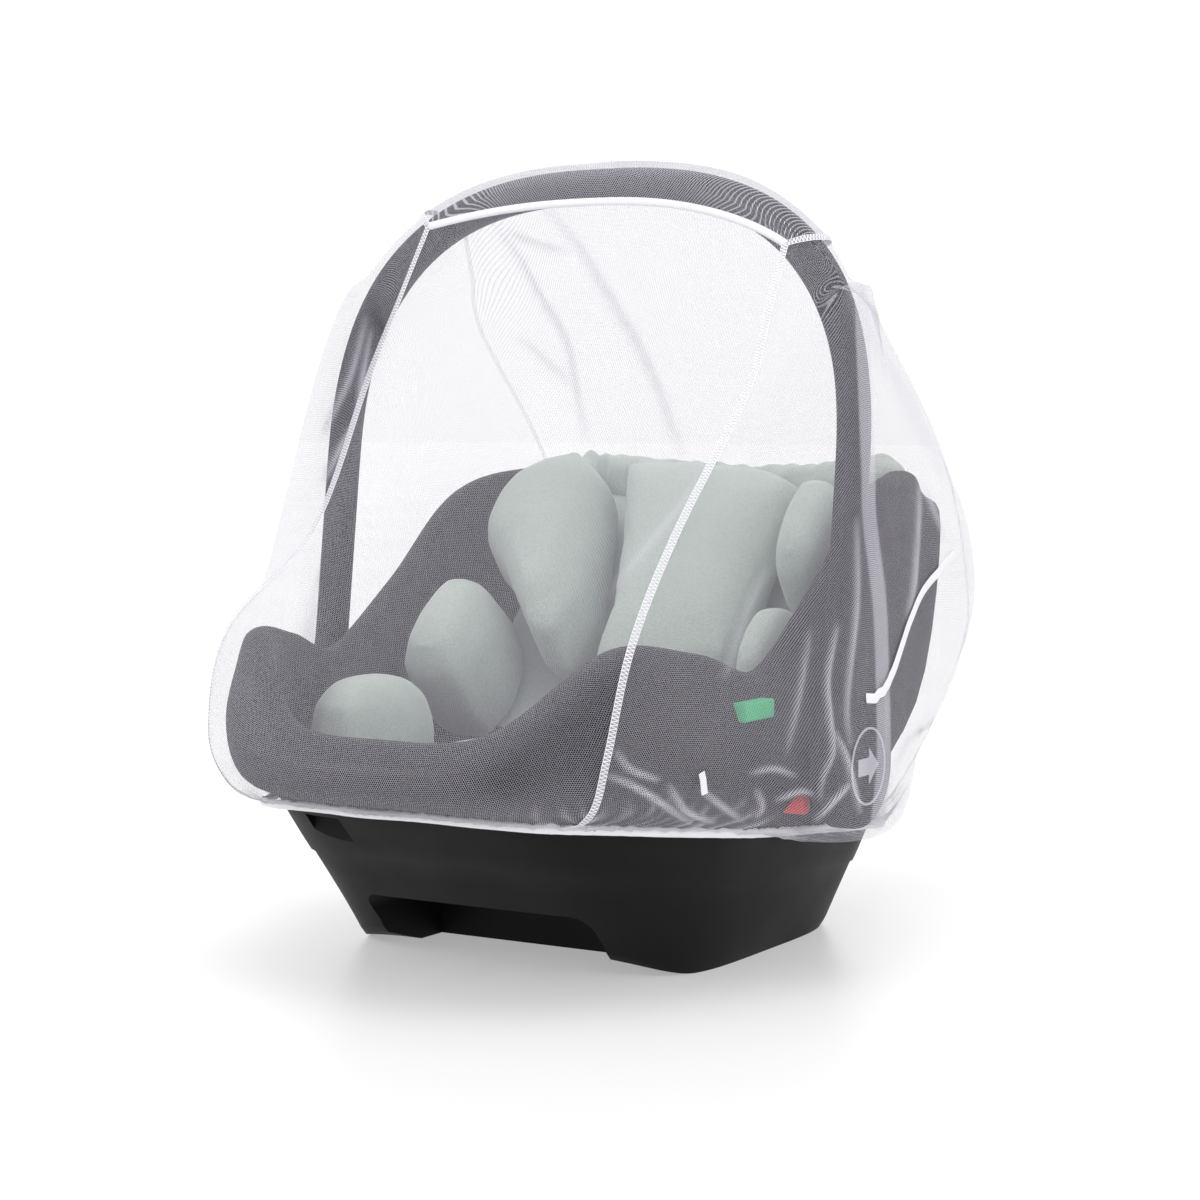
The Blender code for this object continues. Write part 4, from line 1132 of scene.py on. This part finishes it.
# The pleat beside the right arm: the mesh lies double between two upright lines
PLEAT = ((861, 300), (868, 459), (870, 520), (879, 598), (882, 660), (884, 760), (878, 820))
# The pleat's and the crown's marks thicken the threads and lighten the net's colour; the lighter
# colour is painted highlight.
PLEAT_HALF_WIDTH, PLEAT_WHITE = 6.5, 0.35
CROWN_WHITE = 0.14


def doubled(route, half_width, seen):
    """How doubled the mesh is: 1 within half a pleat's width of its line, as seen."""
    gap, share = away_from(smooth_route(route), seen)
    return 1 - smooth_share(half_width - 1.5, half_width + 1.5, gap)


def net_panel(name, node, rows, folds, seed, tension):
    places = np.array([[tuple(p) for p in row] for row in rows])
    across, rise = arc_lengths(places)
    normal = outward_directions(places, np.array([0.0, 0.05, 0.22]))
    gather_lift, gather_white = hem_gathers(across, rise, seed)
    seen = seen_at(places)
    height, white = ridges(folds, seen)
    if folds is BACK_FOLDS:
        white[side_rows:] = np.maximum(white[side_rows:], CROWN_WHITE)
    if folds is RIGHT_FOLDS:
        white = np.maximum(white, PLEAT_WHITE * doubled(PLEAT, PLEAT_HALF_WIDTH, seen))
    soft = noise_field(across, rise, 0.050, 0.24, seed + 7) * tension
    edge = np.minimum(np.arange(places.shape[1]), np.arange(places.shape[1])[::-1]) / AROUND_STEPS
    calm = smooth_share(0.0, 0.25, edge)[None, :]
    upper = 1 - smooth_share(0.90, 1.0, np.linspace(0, 1, len(places)))[:, None]
    lift = gather_lift + (height + soft) * calm * upper
    # The mark thickens the threads where the net gathers or lies double, and lightens their colour,
    # which is painted highlight.
    marks = {"gathered_and_highlight": np.clip(np.maximum(white, gather_white * 1.15), 0, 1)}
    moved = places + normal * lift[..., None]
    panel = cloth_mesh(name, moved, net_material, uv=(across, rise), marks=marks,
                       thickness=NET_THREAD)
    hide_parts(node)
    return panel, moved, normal


# %% Lay out the cuts
TENSION = 0.0010
front_rows = fill_rows(net_columns("foot_side", "front_seam", -1)[::-1]
                       + net_columns("foot", "front_seam", 1))
front_rows[-1] = [on_binding(crown_x(share, -90), 0) for share in top_shares("foot", "front_seam")]
front_panel, front_places, front_normals = net_panel(
    "front_mesh", "net_front_panel", front_rows, FRONT_FOLDS, 11.0, TENSION)

sides = {}
for side, name, folds, seed in ((-1, "left", LEFT_FOLDS, 23.0), (1, "right", RIGHT_FOLDS, 31.0)):
    rows = fill_rows(net_columns("front_seam", "back_seam", side))
    sides[name] = net_panel("side_mesh_" + name, "net_side_" + name, rows, folds, seed, TENSION)

side_rows = len(sides["left"][1])
back_left = net_columns("back_seam", "head_corner", -1)
back_rows = fill_rows(back_left + net_columns("back_seam", "head", 1)[::-1])
shares = top_shares("back_seam", "head")
back_rows[-1] = [on_crown(crown_x(share, 90), 90) for share in shares]
crown_turns = np.linspace(90, -90, 49)[1:-1]
back_rows += [[on_crown(crown_x(share, turn), turn) for share in shares] for turn in crown_turns]
back_rows.append([on_binding(crown_x(share, -90), 0) for share in shares])
back_panel, back_places, back_normals = net_panel(
    "back_mesh", "net_back_panel", back_rows, BACK_FOLDS, 47.0, TENSION)

# %% [markdown]
# ## Seams, binding and hem
# The seams follow the edges of the cuts. The binding closes the front of the crown, and the
# elastic in the hem pulls the net's lower edge under the shell.

# %% Sew the seams
SEAM_WIDTH, SEAM_THICKNESS = 0.0048, 0.0009


def seam(name, places, normals, width=SEAM_WIDTH, material=seam_material):
    line = [Vector(p) + Vector(n) * 0.0007 for p, n in zip(places, normals)]
    fine = smooth_open(line[::4] + ([] if (len(line) - 1) % 4 == 0 else [line[-1]]), 4)
    picks = np.linspace(0, len(line) - 1, len(fine))
    turned = np.stack([np.interp(picks, range(len(line)), normals[:, k]) for k in range(3)], axis=1)
    piece = band(name, [tuple(p) for p in fine], turned, width, SEAM_THICKNESS, material)
    return piece


def between(first, second):
    both = first + second
    return both / np.linalg.norm(both, axis=1, keepdims=True)


left_places, left_normals = sides["left"][1:]
right_places, right_normals = sides["right"][1:]
seam("seam_front_left", left_places[:, 0],
                           between(left_normals[:, 0], front_normals[:, 0]))
seam("seam_front_right", right_places[:, 0],
                            between(right_normals[:, 0], front_normals[:, -1]))
seam("seam_shoulder_left", left_places[-1], left_normals[-3])
seam("seam_shoulder_right", right_places[-1], right_normals[-3])
seam("seam_back_left", left_places[:, -1],
                          between(left_normals[:, -1], back_normals[:side_rows, 0]),
                          0.0030, faint_seam_material)
seam("seam_back_right", right_places[:, -1],
                           between(right_normals[:, -1], back_normals[:side_rows, -1]),
                           0.0030, faint_seam_material)

# %% Fold the binding over the front of the crown
shares = np.linspace(-1, 1, 161)
line = np.array([tuple(on_binding(crown_x(share, -90), 0)) for share in shares])
facing = np.tile(np.array([0.0, -1.0, 0.12]), (len(line), 1))
binding = band("net_binding_tape", line, facing, BINDING_WIDTH, BINDING_THICKNESS,
               binding_material, around=20)
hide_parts("net_binding")

# %% Draw the elastic through the hem
hem_loop = np.concatenate([front_places[0, :-1], right_places[0, :-1],
                           back_places[0, ::-1][:-1], left_places[0, ::-1][:-1]])
away = hem_loop - np.array([0.0, 0.01, 0.0])
away[:, 2] = 0
away /= np.linalg.norm(away, axis=1, keepdims=True)
run = np.concatenate([[0], np.linalg.norm(np.diff(hem_loop, axis=0), axis=1).cumsum()])
pucker = np.array([noise.noise(Vector((s / 0.006, 3.1, 0.0))) for s in run])
hem_loop = hem_loop + np.array([0, 0, 1]) * (pucker * 0.0006)[:, None]
hem = band("net_hem_elastic", hem_loop, away, 0.0058 + 0.0016 * pucker, 0.0036 + 0.0008 * pucker,
           binding_material, around=14, closed=True)


# %% The loose tape and the bare tab
right_seen = seen_at(right_places)
right_facing = right_normals @ np.array(backward) > 0.05


def place_seen(spot, lift):
    """The place of the right side's cloth that is seen at a pixel, and the way it faces."""
    gap = np.linalg.norm(right_seen - np.array(spot), axis=2) + np.where(right_facing, 0, 1e3)
    nearest = np.argsort(gap, axis=None)[:5]
    share = 1 / (gap.ravel()[nearest] + 0.5) ** 2
    share = (share / share.sum())[:, None]
    facing = (right_normals.reshape(-1, 3)[nearest] * share).sum(axis=0)
    facing /= np.linalg.norm(facing)
    return (right_places.reshape(-1, 3)[nearest] * share).sum(axis=0) + facing * lift, facing


def laid_strip(name, route, width, thickness, node):
    """A flat strip on the right side's cloth, along a line of the photograph's pixels."""
    fine = smooth_open([Vector((x, y, 0)) for x, y in route], 12)
    spots = [place_seen((p.x, p.y), 0.0018) for p in fine]
    line = np.array([spot for spot, facing in spots])
    facing = np.array([normal for spot, normal in spots])
    for k in range(3):
        line[1:-1] = (line[:-2] + line[1:-1] * 2 + line[2:]) / 4
        facing[1:-1] = (facing[:-2] + facing[1:-1] * 2 + facing[2:]) / 4
    piece = band(name, line, facing, width, thickness, binding_material, around=16)
    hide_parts(node)
    return piece


TAPE_LINE = ((864, 699), (873, 697), (882, 690), (893, 666), (904, 632), (918, 596), (935, 573),
             (952, 554))
TAB_LINE = ((703, 793), (702, 782), (700, 772))
tape = laid_strip("back_tape", TAPE_LINE, 0.0064, 0.0010, "net_back_tape")
tab = laid_strip("bare_tab", TAB_LINE, 0.0046, 0.0008, "net_tag")

# %% [markdown]

# %% [markdown]
# ## The floor and the light
# The photograph was taken in a white studio: a pale floor that runs out of sight, a large soft
# light above and a weaker one on each side. The world is white too, so the net is lit all round.

# %% Floor, world and lights
floor_finish = Finish("studio_floor", (0.55, 0.55, 0.555), 0.35)
floor_finish.feed("Emission Color", (1.0, 1.0, 1.0, 1.0))
floor_finish.feed("Emission Strength", 0.36)
floor_finish.feed("Roughness", floor_finish.soft_step(
    floor_finish.cloud(floor_finish.where(), 1.5), 0.3, 0.7, 0.31, 0.39))
bm = bmesh.new()
bmesh.ops.create_grid(bm, x_segments=2, y_segments=2, size=30.0)
mesh = bpy.data.meshes.new("studio_floor")
bm.to_mesh(mesh)
bm.free()
mesh.materials.append(floor_finish.material)
floor = bpy.data.objects.new("studio_floor", mesh)
bpy.context.scene.collection.objects.link(floor)

world = bpy.data.worlds.new("studio")
bpy.context.scene.world = world
world.use_nodes = True
world.node_tree.nodes["Background"].inputs["Color"].default_value = (1.0, 1.0, 1.0, 1.0)
world.node_tree.nodes["Background"].inputs["Strength"].default_value = 1.08


def softbox(name, place, aim, size, power):
    data = bpy.data.lights.new(name, "AREA")
    data.shape, data.size, data.energy = "DISK", size, power
    lamp = bpy.data.objects.new(name, data)
    bpy.context.scene.collection.objects.link(lamp)
    lamp.location = place
    lamp.rotation_mode = "QUATERNION"
    lamp.rotation_quaternion = (Vector(aim) - Vector(place)).to_track_quat("-Z", "Y")


softbox("top_light", (0.2, -0.3, 2.2), (0, 0, 0.2), 1.4, 12)
softbox("left_light", (-1.8, -1.4, 1.3), (0, 0, 0.25), 1.2, 8)
softbox("right_light", (2.2, -0.4, 1.0), (0, 0, 0.25), 1.0, 5)
bpy.context.scene.view_settings.view_transform = "Standard"
bpy.context.scene.cycles.transparent_max_bounces = 48
